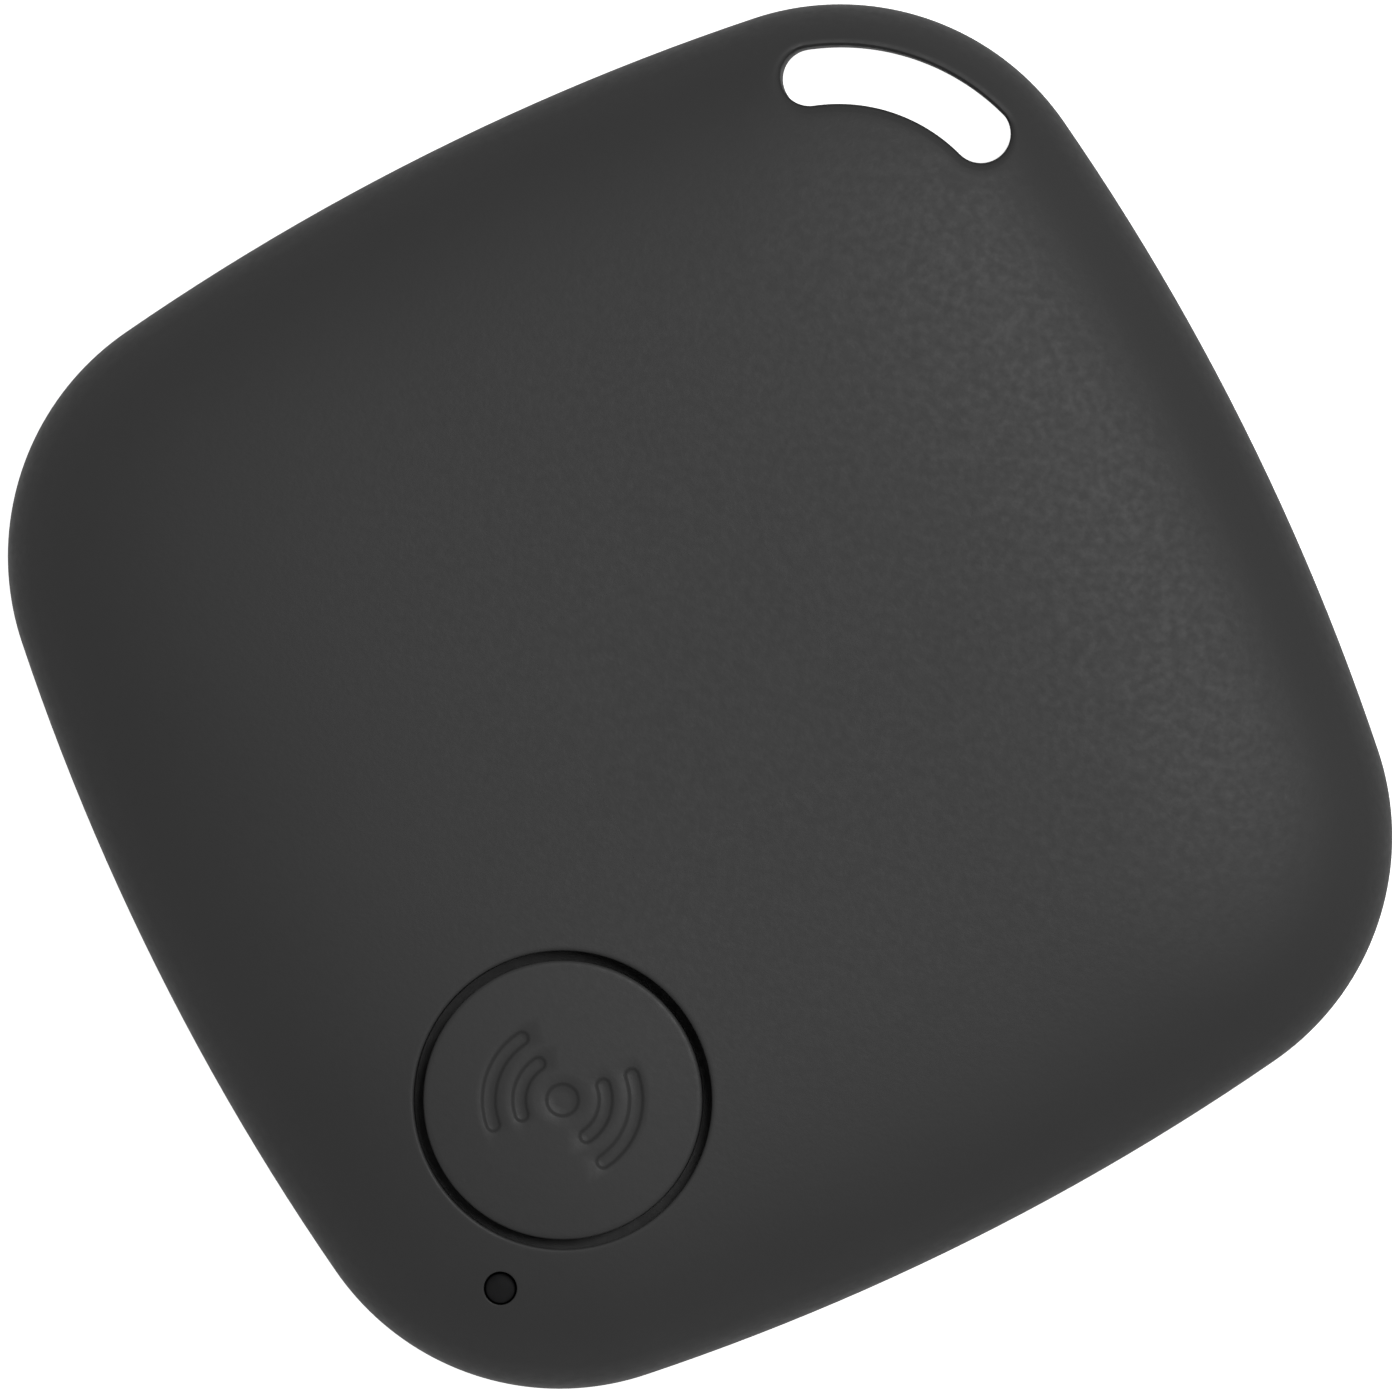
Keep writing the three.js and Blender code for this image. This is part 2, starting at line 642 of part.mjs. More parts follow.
// ---- assembly ----------------------------------------------------------------------------------

function positiveContactPair() {
  return [-1, 1].map((side) => {
    const name = side < 0 ? "positive_contact_left" : "positive_contact_right";
    const contact = piece(name, positiveContact(), springSteel);
    contact.position.set(side * CELL_RADIUS, CELL_Y, 0);
    contact.rotation.z = side < 0 ? Math.PI : 0;
    return contact;
  });
}

function boardAssembly() {
  const onTop = group(...positiveContactPair(), tactSwitch(), buzzer(), ...chips());
  onTop.position.z = BOARD_THICKNESS;
  const assembly = group(piece("circuit_board", circuitBoard(), solderMask), onTop);
  assembly.position.z = BOARD_Z;
  return assembly;
}

function rearAssembly() {
  const shell = piece("rear_shell", rearShell(), shellPlastic);
  const contact = piece("negative_contact", negativeContact(), springSteel);
  return group(shell, contact, boardAssembly(), coinCell());
}

function coverAssembly() {
  const pipe = piece("light_pipe", lightPipe(), smokedAcrylic);
  pipe.position.y = PINHOLE_Y;
  const cap = piece("button_cap", buttonCap(), buttonPlastic);
  const shell = piece("front_shell", frontShell(), shellPlastic);
  return group(shell, piece("foam_pad", foamPad(), foam), pipe, cap);
}

const tag = group(rearAssembly(), coverAssembly());

export default tag;
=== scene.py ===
"""Looks for a Bluetooth tracker tag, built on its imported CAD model.

Shapes are worked out in millimetres in the model's own frame, and scaled to metres as each piece
is finished: +Z points out of the front face and +Y towards the slotted corner.
"""
import math

import bmesh
import bpy
import numpy as np
from mathutils import Matrix, Vector
from mathutils.geometry import delaunay_2d_cdt

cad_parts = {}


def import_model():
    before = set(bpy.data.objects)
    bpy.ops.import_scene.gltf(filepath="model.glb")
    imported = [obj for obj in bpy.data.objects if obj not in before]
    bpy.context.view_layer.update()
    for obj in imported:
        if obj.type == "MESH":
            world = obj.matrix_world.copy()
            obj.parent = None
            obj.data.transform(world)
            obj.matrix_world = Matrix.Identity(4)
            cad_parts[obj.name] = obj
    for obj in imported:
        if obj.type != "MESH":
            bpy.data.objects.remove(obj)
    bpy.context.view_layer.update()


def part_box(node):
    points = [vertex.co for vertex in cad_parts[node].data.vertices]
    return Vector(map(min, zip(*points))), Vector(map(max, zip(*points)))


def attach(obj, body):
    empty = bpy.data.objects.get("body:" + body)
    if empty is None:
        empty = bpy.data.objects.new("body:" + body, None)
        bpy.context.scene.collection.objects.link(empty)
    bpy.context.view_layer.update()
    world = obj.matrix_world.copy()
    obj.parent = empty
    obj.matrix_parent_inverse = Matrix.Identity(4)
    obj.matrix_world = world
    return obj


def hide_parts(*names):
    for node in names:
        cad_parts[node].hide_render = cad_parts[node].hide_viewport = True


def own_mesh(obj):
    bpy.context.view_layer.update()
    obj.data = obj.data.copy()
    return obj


MM = 0.001

# ---- driving dimensions, as in the CAD model --------------------------------------------------

HALF_WIDTH = 19.0
SIDE_RADIUS = 78.5
CORNER_RADIUS = 8.5
THICKNESS = 6.6
PARTING_Z = 2.4
WALL = 1.2
CEILING = 1.0
FLOOR = 0.8
FULLNESS = 4
ROUNDNESS = 3
FLAT_BACK = 0.8
FIT = 0.05
SKIN = 0.03

SLOT_ARC = 6.25
SLOT_HALF_WIDTH = 0.92
SLOT_HALF_ANGLE = math.radians(26.8)
COLLAR_HALF_WIDTH = SLOT_HALF_WIDTH + 0.95

BUTTON_Y = -13.3
BUTTON_RADIUS = 4.36
BUTTON_BORE = 4.66
SEAT_Z = 4.75
SEAT_RADIUS = BUTTON_BORE + 1.3
FLANGE_RADIUS = 5.0
FLANGE_THICKNESS = 0.4
FLANGE_TOP = SEAT_Z - 0.1
EAR_LENGTH = 0.7  # two ears on the flange keep the button from turning
EAR_HALF_WIDTH = 0.8
KEY_RIB_X = FLANGE_RADIUS + 0.6  # ribs on the shell stand to both sides of each ear
KEY_RIB_WIDTH = 0.6
KEY_RIB_HEIGHT = 1.2
KEY_RIB_GAP = 0.15
CAP_RECESS = (1.6, 3.3)  # inner and outer radius of the groove under the cap
CAP_POST_RADIUS = 0.9
PINHOLE_Y = -19.5
PINHOLE_RADIUS = 0.52
PIPE_RADIUS = 0.46
PIPE_DOME = 0.05
PIPE_FLANGE_RADIUS = 0.8
PIPE_FLANGE_TOP = 4.25
PIPE_FLANGE_THICKNESS = 0.35

LIP_HEIGHT = 0.9
LIP_CHAMFER = 0.12
LIP_ROOT = 0.3  # how far the lip reaches down into the rear half
LIP_INSET = WALL + FIT
POCKET_INSET = LIP_INSET + 0.7
LEDGE_INSET = POCKET_INSET + 1.25

BOARD_Z = 1.5
BOARD_TOP = 2.3
CELL_Y = 4.0
CELL_Z = 1.15
CELL_RADIUS = 10.0
CELL_HEIGHT = 3.2
CELL_HOLE = CELL_RADIUS + 0.4
CELL_SEAT = (8.7, 10.1)  # inner and outer radius of the ring that it stands on
CELL_CHANNEL = 4.6
POST_RADIUS = 0.6
POST_TOP = BOARD_TOP + 0.9
POST_FOOT_RADIUS = 1.2
BOSS_RADIUS = 1.3
SWITCH_REST_RADIUS = 1.8
SWITCH_HEIGHT = 1.8
NOTCH = (5.0, 2.2, 0.5)
POSTS = [(-8.6, -9.6), (8.6, -9.6)]

# Rounded edges, which the CAD model leaves sharp.
HOLE_FILLET = 0.28
BORE_FILLET = 0.1
PINHOLE_FILLET = BORE_FILLET / 2
CAP_FILLET = 0.11
SEAM_CHAMFER = 0.08

FACE_SHARE = 0.966  # how far out a shell's face is one sheet, before its lofted rim
SEAM_OVERLAP = 0.01
SHARP_ANGLE = math.radians(35)  # edges that turn further are shaded sharp

SIDE_CENTRE = SIDE_RADIUS - HALF_WIDTH
SIDE_LEG = SIDE_CENTRE * math.sqrt(0.5)
CORNER_CENTRE = math.sqrt((SIDE_RADIUS - CORNER_RADIUS) ** 2 - SIDE_LEG**2) - SIDE_LEG
CORNER_SPREAD = math.atan2(SIDE_LEG, CORNER_CENTRE + SIDE_LEG)
TIP = CORNER_CENTRE + CORNER_RADIUS

# ---- curves -----------------------------------------------------------------------------------


def arc(x, y, radius, start, end, steps):
    """Points along an arc, without its last point."""
    angles = np.linspace(start, end, steps, endpoint=False)
    return np.column_stack([x + radius * np.cos(angles), y + radius * np.sin(angles)])


def circle(x, y, radius, steps=96):
    return arc(x, y, radius, 0, 2 * math.pi, steps)


def outline(inset=0.0, corner_steps=40, side_steps=24):
    """The tag's outline, moved inwards by inset: four corner arcs and four bowed sides."""
    parts = []
    for corner in range(4):
        axis = corner * math.pi / 2
        side = axis + math.pi / 4
        start, join = axis - CORNER_SPREAD, axis + CORNER_SPREAD
        end = axis + math.pi / 2 - CORNER_SPREAD
        corner_x, corner_y = CORNER_CENTRE * math.cos(axis), CORNER_CENTRE * math.sin(axis)
        side_x, side_y = -SIDE_CENTRE * math.cos(side), -SIDE_CENTRE * math.sin(side)
        parts.append(arc(corner_x, corner_y, CORNER_RADIUS - inset, start, join, corner_steps))
        parts.append(arc(side_x, side_y, SIDE_RADIUS - inset, join, end, side_steps))
    return np.vstack(parts)


def arc_band(x, y, radius, half_width, start, end, steps=24):
    """The outline of a curved band with round ends."""
    first = (x + radius * math.cos(start), y + radius * math.sin(start))
    last = (x + radius * math.cos(end), y + radius * math.sin(end))
    return np.vstack([
        arc(x, y, radius + half_width, start, end, 2 * steps),
        arc(*last, half_width, end, end + math.pi, steps),
        arc(x, y, radius - half_width, end, start, 2 * steps),
        arc(*first, half_width, start + math.pi, start + 2 * math.pi, steps),
    ])


def slot_band(half_width):
    start, end = math.pi / 2 - SLOT_HALF_ANGLE, math.pi / 2 + SLOT_HALF_ANGLE
    return arc_band(0, CORNER_CENTRE, SLOT_ARC, half_width, start, end)


def outline_radius(angle):
    """How far the outline lies from the centre in each direction."""
    turn = np.mod(angle + math.pi / 4, math.pi / 2) - math.pi / 4
    along = CORNER_CENTRE * np.cos(turn)
    corner = along + np.sqrt(np.maximum(CORNER_RADIUS**2 - CORNER_CENTRE**2 + along**2, 0))
    along = -SIDE_CENTRE * np.cos(np.abs(turn) - math.pi / 4)
    side = along + np.sqrt(SIDE_RADIUS**2 - SIDE_CENTRE**2 + along**2)
    join_x = CORNER_CENTRE + CORNER_RADIUS * math.cos(CORNER_SPREAD)
    join = math.atan2(CORNER_RADIUS * math.sin(CORNER_SPREAD), join_x)
    return np.where(np.abs(turn) < join, corner, side)


def share_of(points):
    """How far each point lies from the centre, as a share of the way to the outline."""
    angle = np.arctan2(points[:, 1], points[:, 0])
    return np.hypot(points[:, 0], points[:, 1]) / outline_radius(angle)


def front_rise(share):
    return (THICKNESS - PARTING_Z) * (1 - np.minimum(share, 1) ** FULLNESS) ** (1 / ROUNDNESS)


def front_height(points):
    return PARTING_Z + front_rise(share_of(points))


def rear_height(points):
    rim = np.clip((share_of(points) - FLAT_BACK) / (1 - FLAT_BACK), 0, 1)
    return PARTING_Z * (1 - np.sqrt(1 - rim**2))


def rounding(distance, radius):
    """How far a rounded edge lies below its face, at this distance from the edge."""
    inside = np.clip(1 - distance / radius, 0, 1)
    return radius * (1 - np.sqrt(1 - inside**2))


def rounding_steps(radius, count=5):
    """Distances from an edge at which its rounding turns by equal angles, then two beyond it."""
    turns = np.linspace(math.pi / 2, 0, count)
    return [*(radius * (1 - np.sin(turns))), 1.8 * radius, 3 * radius]


# ---- mesh building ----------------------------------------------------------------------------


def linked(name, data):
    """A new object in the scene."""
    obj = bpy.data.objects.new(name, data)
    bpy.context.scene.collection.objects.link(obj)
    return obj


class Solid:
    """A closed mesh made of sheets, strips and lofts whose edges meet."""

    def __init__(self):
        self.points = []
        self.faces = []

    def add(self, points, faces):
        start = len(self.points)
        self.points.extend(map(tuple, points))
        self.faces.extend([start + index for index in face] for face in faces)

    def loft(self, rings):
        """Quads between closed rings of equally many 3D points."""
        count = len(rings[0])
        faces = []
        for ring in range(len(rings) - 1):
            low, high = ring * count, (ring + 1) * count
            for i in range(count):
                after = (i + 1) % count
                faces.append([low + i, low + after, high + after, high + i])
        self.add(np.vstack(rings), faces)

    def cap(self, ring):
        self.add(ring, [list(range(len(ring)))])

    def sheet(self, rim, holes, height, scatter=(), creases=()):
        """A triangulated sheet inside rim, open inside each loop of holes.

        Height gives z at each 2D point. Scatter are loose points, and creases are closed loops
        that the triangles follow.
        """
        loops = [rim, *holes, *creases]
        flat = np.vstack([*loops, *([scatter] if len(scatter) else [])])
        edges = []
        start = 0
        for loop in loops:
            count = len(loop)
            edges += [(start + i, start + (i + 1) % count) for i in range(count)]
            start += count
        made = delaunay_2d_cdt([Vector(p) for p in flat], edges, [], 0, 1e-6)
        points = np.array([tuple(p) for p in made[0]])
        faces = [face for face in made[2] if self.is_open(points[face].mean(axis=0), rim, holes)]
        self.add(np.column_stack([points, height(points)]), faces)

    @staticmethod
    def is_open(point, rim, holes):
        return inside(point, rim) and not any(inside(point, hole) for hole in holes)

    def build(self, name="solid"):
        mesh = bpy.data.meshes.new(name)
        mesh.from_pydata(self.points, [], self.faces)
        work = bmesh.new()
        work.from_mesh(mesh)
        bmesh.ops.remove_doubles(work, verts=work.verts, dist=1e-4)
        bmesh.ops.recalc_face_normals(work, faces=work.faces)
        work.to_mesh(mesh)
        work.free()
        return linked(name, mesh)


def inside(point, loop):
    """Whether a 2D point lies inside a closed loop, by counting crossings."""
    x, y = loop[:, 0], loop[:, 1]
    next_x, next_y = np.roll(x, -1), np.roll(y, -1)
    spans = (y > point[1]) != (next_y > point[1])
    rise = np.where(next_y == y, 1, next_y - y)
    crossing = x + (point[1] - y) * (next_x - x) / rise
    return np.count_nonzero(spans & (point[0] < crossing)) % 2 == 1


def at_height(loop, z):
    return np.column_stack([loop, np.broadcast_to(z, len(loop))])


def stack(rings):
    """A solid lofted through rings, closed with flat caps."""
    made = Solid()
    made.loft(rings)
    made.cap(rings[0])
    made.cap(rings[-1])
    return made.build()


def prism(loop, bottom, top):
    return stack([at_height(loop, bottom), at_height(loop, top)])


def turned(profile, x=0.0, y=0.0, steps=96):
    """A solid of revolution from (radius, z) pairs. A profile that leaves the axis is a ring."""
    rings = [at_height(circle(x, y, max(radius, 1e-3), steps), z) for radius, z in profile]
    if min(radius for radius, _ in profile) < 1e-6:
        return stack(rings)
    made = Solid()
    made.loft([*rings, rings[0]])
    return made.build()


def rod(radius, bottom, top, x=0.0, y=0.0, steps=96):
    return turned([(0, bottom), (radius, bottom), (radius, top), (0, top)], x, y, steps)


def box(width, length, height, x=0.0, y=0.0, bottom=0.0):
    corners = np.array([(-1, -1), (1, -1), (1, 1), (-1, 1)]) * (width / 2, length / 2) + (x, y)
    return prism(corners, bottom, bottom + height)


def combine(body, tools, operation):
    for tool in tools:
        modifier = body.modifiers.new("combine", "BOOLEAN")
        modifier.operation = operation
        modifier.object = tool
        modifier.solver = "EXACT"
        graph = bpy.context.evaluated_depsgraph_get()
        mesh = bpy.data.meshes.new_from_object(body.evaluated_get(graph))
        body.modifiers.clear()
        body.data = mesh
        bpy.data.objects.remove(tool)
    return body


def cut(body, *tools):
    return combine(body, tools, "DIFFERENCE")


def join(body, *tools):
    return combine(body, tools, "UNION")


def merge(objects):
    """One object from several, without a boolean."""
    work = bmesh.new()
    for obj in objects:
        work.from_mesh(obj.data)
        bpy.data.objects.remove(obj)
    mesh = bpy.data.meshes.new("merged")
    work.to_mesh(mesh)
    work.free()
    return linked("merged", mesh)


def piece(obj, name, body, slot, finish, replaces=()):
    """Scales a shape to metres, shades it and hands it to the frame."""
    obj.name = name
    obj.data.name = name
    obj.data.transform(Matrix.Scale(MM, 4))
    obj.data.materials.clear()
    obj.data.materials.append(finish)
    obj.data.shade_smooth()
    obj.data.set_sharp_from_angle(angle=SHARP_ANGLE)
    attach(obj, body)
    if replaces:
        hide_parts(*replaces)
    return obj


def repaint(obj, finish, wanted):
    """Gives a second finish to the faces that are wanted."""
    obj.data.materials.append(finish)
    for face in obj.data.polygons:
        face.material_index = int(wanted(face))


# ---- materials --------------------------------------------------------------------------------


class Finish:
    """A node material with helpers for procedural detail. Scales are in millimetres."""

    def __init__(self, name, color, roughness, metallic=0.0, specular=0.5):
        self.material = bpy.data.materials.new(name)
        self.material.use_nodes = True
        self.tree = self.material.node_tree
        self.shader = self.tree.nodes["Principled BSDF"]
        self.color = color
        self.shader.inputs["Base Color"].default_value = (*color, 1)
        self.shader.inputs["Roughness"].default_value = roughness
        self.shader.inputs["Metallic"].default_value = metallic
        self.shader.inputs["Specular IOR Level"].default_value = specular
        self.place = self.node("ShaderNodeTexCoord").outputs["Object"]
        self.bumped = None

    def node(self, kind, **settings):
        made = self.tree.nodes.new(kind)
        for key, value in settings.items():
            setattr(made, key, value)
        return made

    def link(self, start, end):
        self.tree.links.new(start, end)

    def noise(self, size, detail=2, stretch=(1, 1, 1), offset=0.0):
        mapping = self.node("ShaderNodeMapping")
        mapping.inputs["Scale"].default_value = stretch
        mapping.inputs["Location"].default_value = (offset, offset, offset)
        self.link(self.place, mapping.inputs["Vector"])
        texture = self.node("ShaderNodeTexNoise")
        texture.inputs["Scale"].default_value = 1 / (size * MM)
        texture.inputs["Detail"].default_value = detail
        self.link(mapping.outputs["Vector"], texture.inputs["Vector"])
        return texture.outputs["Fac"]

    def waves(self, size, **settings):
        texture = self.node("ShaderNodeTexWave", **settings)
        texture.inputs["Scale"].default_value = 1 / (size * MM)
        self.link(self.place, texture.inputs["Vector"])
        return texture.outputs["Fac"]

    def cells(self, size, feature="F1"):
        texture = self.node("ShaderNodeTexVoronoi", feature=feature)
        texture.inputs["Scale"].default_value = 1 / (size * MM)
        self.link(self.place, texture.inputs["Vector"])
        return texture.outputs["Distance"]

    def tint(self, value, other, start=0.35, end=0.65):
        """The colour goes over to other as the pattern's value goes from start to end."""
        ramp = self.node("ShaderNodeValToRGB")
        ramp.color_ramp.elements[0].position = start
        ramp.color_ramp.elements[0].color = (*self.color, 1)
        ramp.color_ramp.elements[1].position = end
        ramp.color_ramp.elements[1].color = (*other, 1)
        self.link(value, ramp.inputs["Fac"])
        self.link(ramp.outputs["Color"], self.shader.inputs["Base Color"])

    def rough(self, value, low, high):
        """The roughness goes from low to high over the middle of the pattern's values."""
        node = self.node("ShaderNodeMapRange")
        for key, setting in (("From Min", 0.3), ("From Max", 0.7), ("To Min", low), ("To Max", high)):
            node.inputs[key].default_value = setting
        self.link(value, node.inputs["Value"])
        self.link(node.outputs["Result"], self.shader.inputs["Roughness"])

    def bump(self, value, depth):
        node = self.node("ShaderNodeBump")
        node.inputs["Distance"].default_value = depth * MM
        self.link(value, node.inputs["Height"])
        if self.bumped:
            self.link(self.bumped, node.inputs["Normal"])
        self.bumped = node.outputs["Normal"]
        self.link(self.bumped, self.shader.inputs["Normal"])


def lighter(color, factor):
    return tuple(min(1.0, channel * factor) for channel in color)


def moulded_plastic(name, color, roughness, grain=0.14, depth=0.0045):
    """Moulded in a spark-eroded tool: a fine irregular grain, with slight changes in sheen."""
    made = Finish(name, color, roughness, specular=0.3)
    made.bump(made.noise(grain), depth)
    made.bump(made.cells(grain * 1.8, "SMOOTH_F1"), depth * 0.6)
    made.rough(made.noise(grain * 2, offset=0.01), roughness - 0.05, roughness + 0.05)
    made.tint(made.noise(9, 3), lighter(color, 1.05))
    return made


def sheet_metal(name, color, roughness, along):
    """Rolled sheet: fine lines along one way and faint handling marks."""
    made = Finish(name, color, roughness, metallic=1.0)
    made.bump(made.noise(0.25, stretch=along), 0.003)
    made.rough(made.noise(1.5, 4), roughness - 0.07, roughness + 0.1)
    made.tint(made.noise(4, offset=0.02), lighter(color, 0.9))
    return made


def solder_mask():
    """Lacquer over a woven laminate, whose threads show faintly through."""
    color = (0.01, 0.05, 0.028)
    made = Finish("solder_mask", color, 0.32)
    made.shader.inputs["Coat Weight"].default_value = 0.25
    made.bump(made.waves(3, wave_type="BANDS", bands_direction="X"), 0.004)
    made.bump(made.noise(0.8), 0.004)
    made.tint(made.noise(2.5, 4), lighter(color, 1.35))
    made.rough(made.noise(1.2, 3), 0.26, 0.4)
    return made


def enamelled_wire():
    made = Finish("enamelled_wire", (0.55, 0.2, 0.07), 0.3, metallic=0.8)
    made.bump(made.waves(1.2, wave_type="RINGS", rings_direction="Z"), 0.03)
    made.tint(made.noise(0.5), (0.4, 0.13, 0.05))
    return made


def cell_steel():
    """Bright nickel-plated can: fine rings from stamping, and light scuffs."""
    color = (0.66, 0.66, 0.65)
    made = Finish("cell_steel", color, 0.22, metallic=1.0)
    made.bump(made.noise(0.2, 3), 0.003)
    made.rough(made.noise(0.9, 6, stretch=(1, 0.15, 1), offset=0.03), 0.19, 0.3)
    made.tint(made.noise(3, 3), lighter(color, 0.94))
    return made


def cell_foam():
    color = (0.028, 0.028, 0.03)
    made = Finish("cell_foam", color, 0.9, specular=0.2)
    pores = made.cells(0.28)
    made.bump(pores, 0.12)
    made.bump(made.noise(1.4, 3), 0.08)
    # The pores, the pits of the bump, are tinted darker than the rims between them: painted shade in the
    # pores and painted light on the rims.
    made.tint(pores, lighter(color, 2.2), 0.1, 0.6)
    return made


def surface(name, color, roughness, other, grain, patches, sheen=None, metallic=0.0, specular=0.5):
    """A finish with a grain of (size, detail, depth) and patches of (size, detail) in another colour.

    With sheen, as (size, detail, low, high), its roughness varies too.
    """
    made = Finish(name, color, roughness, metallic, specular)
    made.bump(made.noise(*grain[:2]), grain[2])
    made.tint(made.noise(*patches), other)
    if sheen:
        made.rough(made.noise(*sheen[:2]), *sheen[2:])
    return made


def plain(name, color, roughness, factor=1.2):
    """A plain moulded, fired or pressed material, with patches that are lighter by this factor."""
    sheen = (0.5, 2, roughness - 0.06, roughness + 0.06)
    return surface(name, color, roughness, lighter(color, factor), (0.15, 3, 0.005), (0.7, 3), sheen)


def smoked_acrylic():
    color = (0.008, 0.008, 0.0083)
    sheen = (0.2, 2, 0.55, 0.66)
    return surface("smoked_acrylic", color, 0.6, lighter(color, 1.4), (0.12, 2, 0.003), (0.4, 2), sheen,
                   specular=0.1)


def masked_copper():
    """Copper tracks under the board's lacquer: a lighter green."""
    color = (0.03, 0.12, 0.06)
    made = surface("masked_copper", color, 0.3, lighter(color, 1.3), (0.3, 2, 0.004), (0.9, 3))
    made.shader.inputs["Coat Weight"].default_value = 0.3
    return made


def milky_lens():
    color = (0.8, 0.74, 0.5)
    made = surface("milky_lens", color, 0.3, (0.84, 0.8, 0.62), (0.3, 2, 0.01), (0.3, 2))
    made.shader.inputs["Subsurface Weight"].default_value = 0.2
    made.shader.inputs["Subsurface Radius"].default_value = (0.0004, 0.0003, 0.0001)
    return made


def make_finishes():
    shell = (0.036, 0.036, 0.036)
    made = {
        "shell": moulded_plastic("shell_plastic", shell, 0.52),
        "button": moulded_plastic("button_plastic", lighter(shell, 1.04), 0.5, depth=0.0035),
        "light_pipe": smoked_acrylic(),
        "board": solder_mask(),
        "masked_copper": masked_copper(),
        "tin": surface("tinned", (0.62, 0.62, 0.6), 0.3, (0.5, 0.5, 0.47), (0.35, 3, 0.012), (0.6, 2),
                       (0.5, 2, 0.22, 0.45), metallic=1.0),
        "gold": surface("gilded", (0.75, 0.52, 0.2), 0.28, (0.66, 0.44, 0.16), (0.3, 2, 0.004), (1.5, 2),
                        (0.6, 2, 0.2, 0.36), metallic=1.0),
        "spring": sheet_metal("spring_steel", (0.63, 0.62, 0.58), 0.26, (1, 0.1, 1)),
        "steel": sheet_metal("stainless_sheet", (0.6, 0.6, 0.6), 0.3, (0.1, 1, 1)),
        "cell": cell_steel(),
        "gasket": plain("gasket_plastic", (0.02, 0.02, 0.021), 0.5),
        "nylon": plain("black_nylon", (0.018, 0.018, 0.018), 0.42),
        "epoxy": plain("black_epoxy", (0.014, 0.014, 0.015), 0.5, 1.5),
        "housing": plain("black_housing", (0.017, 0.017, 0.017), 0.4, 1.3),
        "ceramic": plain("tan_ceramic", (0.32, 0.2, 0.11), 0.45, 1.15),
        "alumina": plain("white_alumina", (0.7, 0.7, 0.67), 0.5, 0.94),
        "resistive": plain("black_glaze", (0.012, 0.012, 0.014), 0.2, 1.5),
        "led": milky_lens(),
        "coil": enamelled_wire(),
        "magnet": plain("ferrite", (0.05, 0.05, 0.055), 0.4, 1.3),
        "foam": cell_foam(),
        "anode": plain("lithium", (0.4, 0.41, 0.42), 0.5, 0.85),
        "separator": plain("separator_film", (0.75, 0.75, 0.7), 0.8, 0.95),
        "laminate": plain("bare_laminate", (0.34, 0.33, 0.14), 0.6, 0.85),
        "ink": plain("printed_ink", (0.75, 0.76, 0.74), 0.6, 0.95),
        "cathode": plain("pressed_powder", (0.025, 0.025, 0.026), 0.9, 1.4),
    }
    return {key: finish.material for key, finish in made.items()}


# ---- the two shells ---------------------------------------------------------------------------


def scattered(spacing, reach, keep_off):
    """Rings of points inside the outline out to this share of it, clear of the holes."""
    rings = []
    share = spacing / HALF_WIDTH / 2
    while share < reach - 0.3 * spacing / HALF_WIDTH:
        count = max(8, round(2 * math.pi * share * HALF_WIDTH * 1.1 / spacing))
        angles = np.linspace(0, 2 * math.pi, count, endpoint=False) + share
        radius = share * outline_radius(angles)
        rings.append(np.column_stack([radius * np.cos(angles), radius * np.sin(angles)]))
        share += spacing / HALF_WIDTH
    points = np.vstack(rings)
    return points[[not any(inside(p, loop) for loop in keep_off) for p in points]]


def slot_distance(points):
    """Distance from the slot's edge, positive outside it."""
    dx, dy = points[:, 0], points[:, 1] - CORNER_CENTRE
    angle = np.clip(np.arctan2(dx, dy), -SLOT_HALF_ANGLE, SLOT_HALF_ANGLE)
    near_x, near_y = SLOT_ARC * np.sin(angle), SLOT_ARC * np.cos(angle)
    return np.hypot(dx - near_x, dy - near_y) - SLOT_HALF_WIDTH


def circle_distance(points, y, radius):
    return np.hypot(points[:, 0], points[:, 1] - y) - radius


def rounded_front(points):
    """The front face's height, with the edges of its three holes rounded."""
    z = front_height(points)
    z -= rounding(slot_distance(points), HOLE_FILLET)
    z -= rounding(circle_distance(points, BUTTON_Y, BUTTON_BORE), BORE_FILLET)
    z -= rounding(circle_distance(points, PINHOLE_Y, PINHOLE_RADIUS), PINHOLE_FILLET)
    return z


def rounded_rear(points):
    return rear_height(points) + rounding(slot_distance(points), HOLE_FILLET)


def slot_loops():
    """The slot's edge, and the loops round it on which its rounding is drawn."""
    return [slot_band(SLOT_HALF_WIDTH + d) for d in rounding_steps(HOLE_FILLET)]


def half_blank(holes, spacing, height, rim, seam):
    """Half of the tag, filled in: a face, its lofted rim and a flat seam, with holes right through.

    A hole is a list of loops from its edge outwards, which the face's triangles follow.
    """
    edges = [loops[0] for loops in holes]
    creases = [loop for loops in holes for loop in loops[1:]]
    scatter = scattered(spacing, FACE_SHARE, [loops[-1] for loops in holes])
    made = Solid()
    made.sheet(outline() * FACE_SHARE, edges, height, scatter, creases)
    made.loft([*rim, at_height(outline(SEAM_CHAMFER), seam)])
    made.sheet(outline(SEAM_CHAMFER), edges, lambda points: np.full(len(points), seam))
    for edge in edges:
        made.loft([at_height(edge, height(edge)), at_height(edge, seam)])
    return made.build()


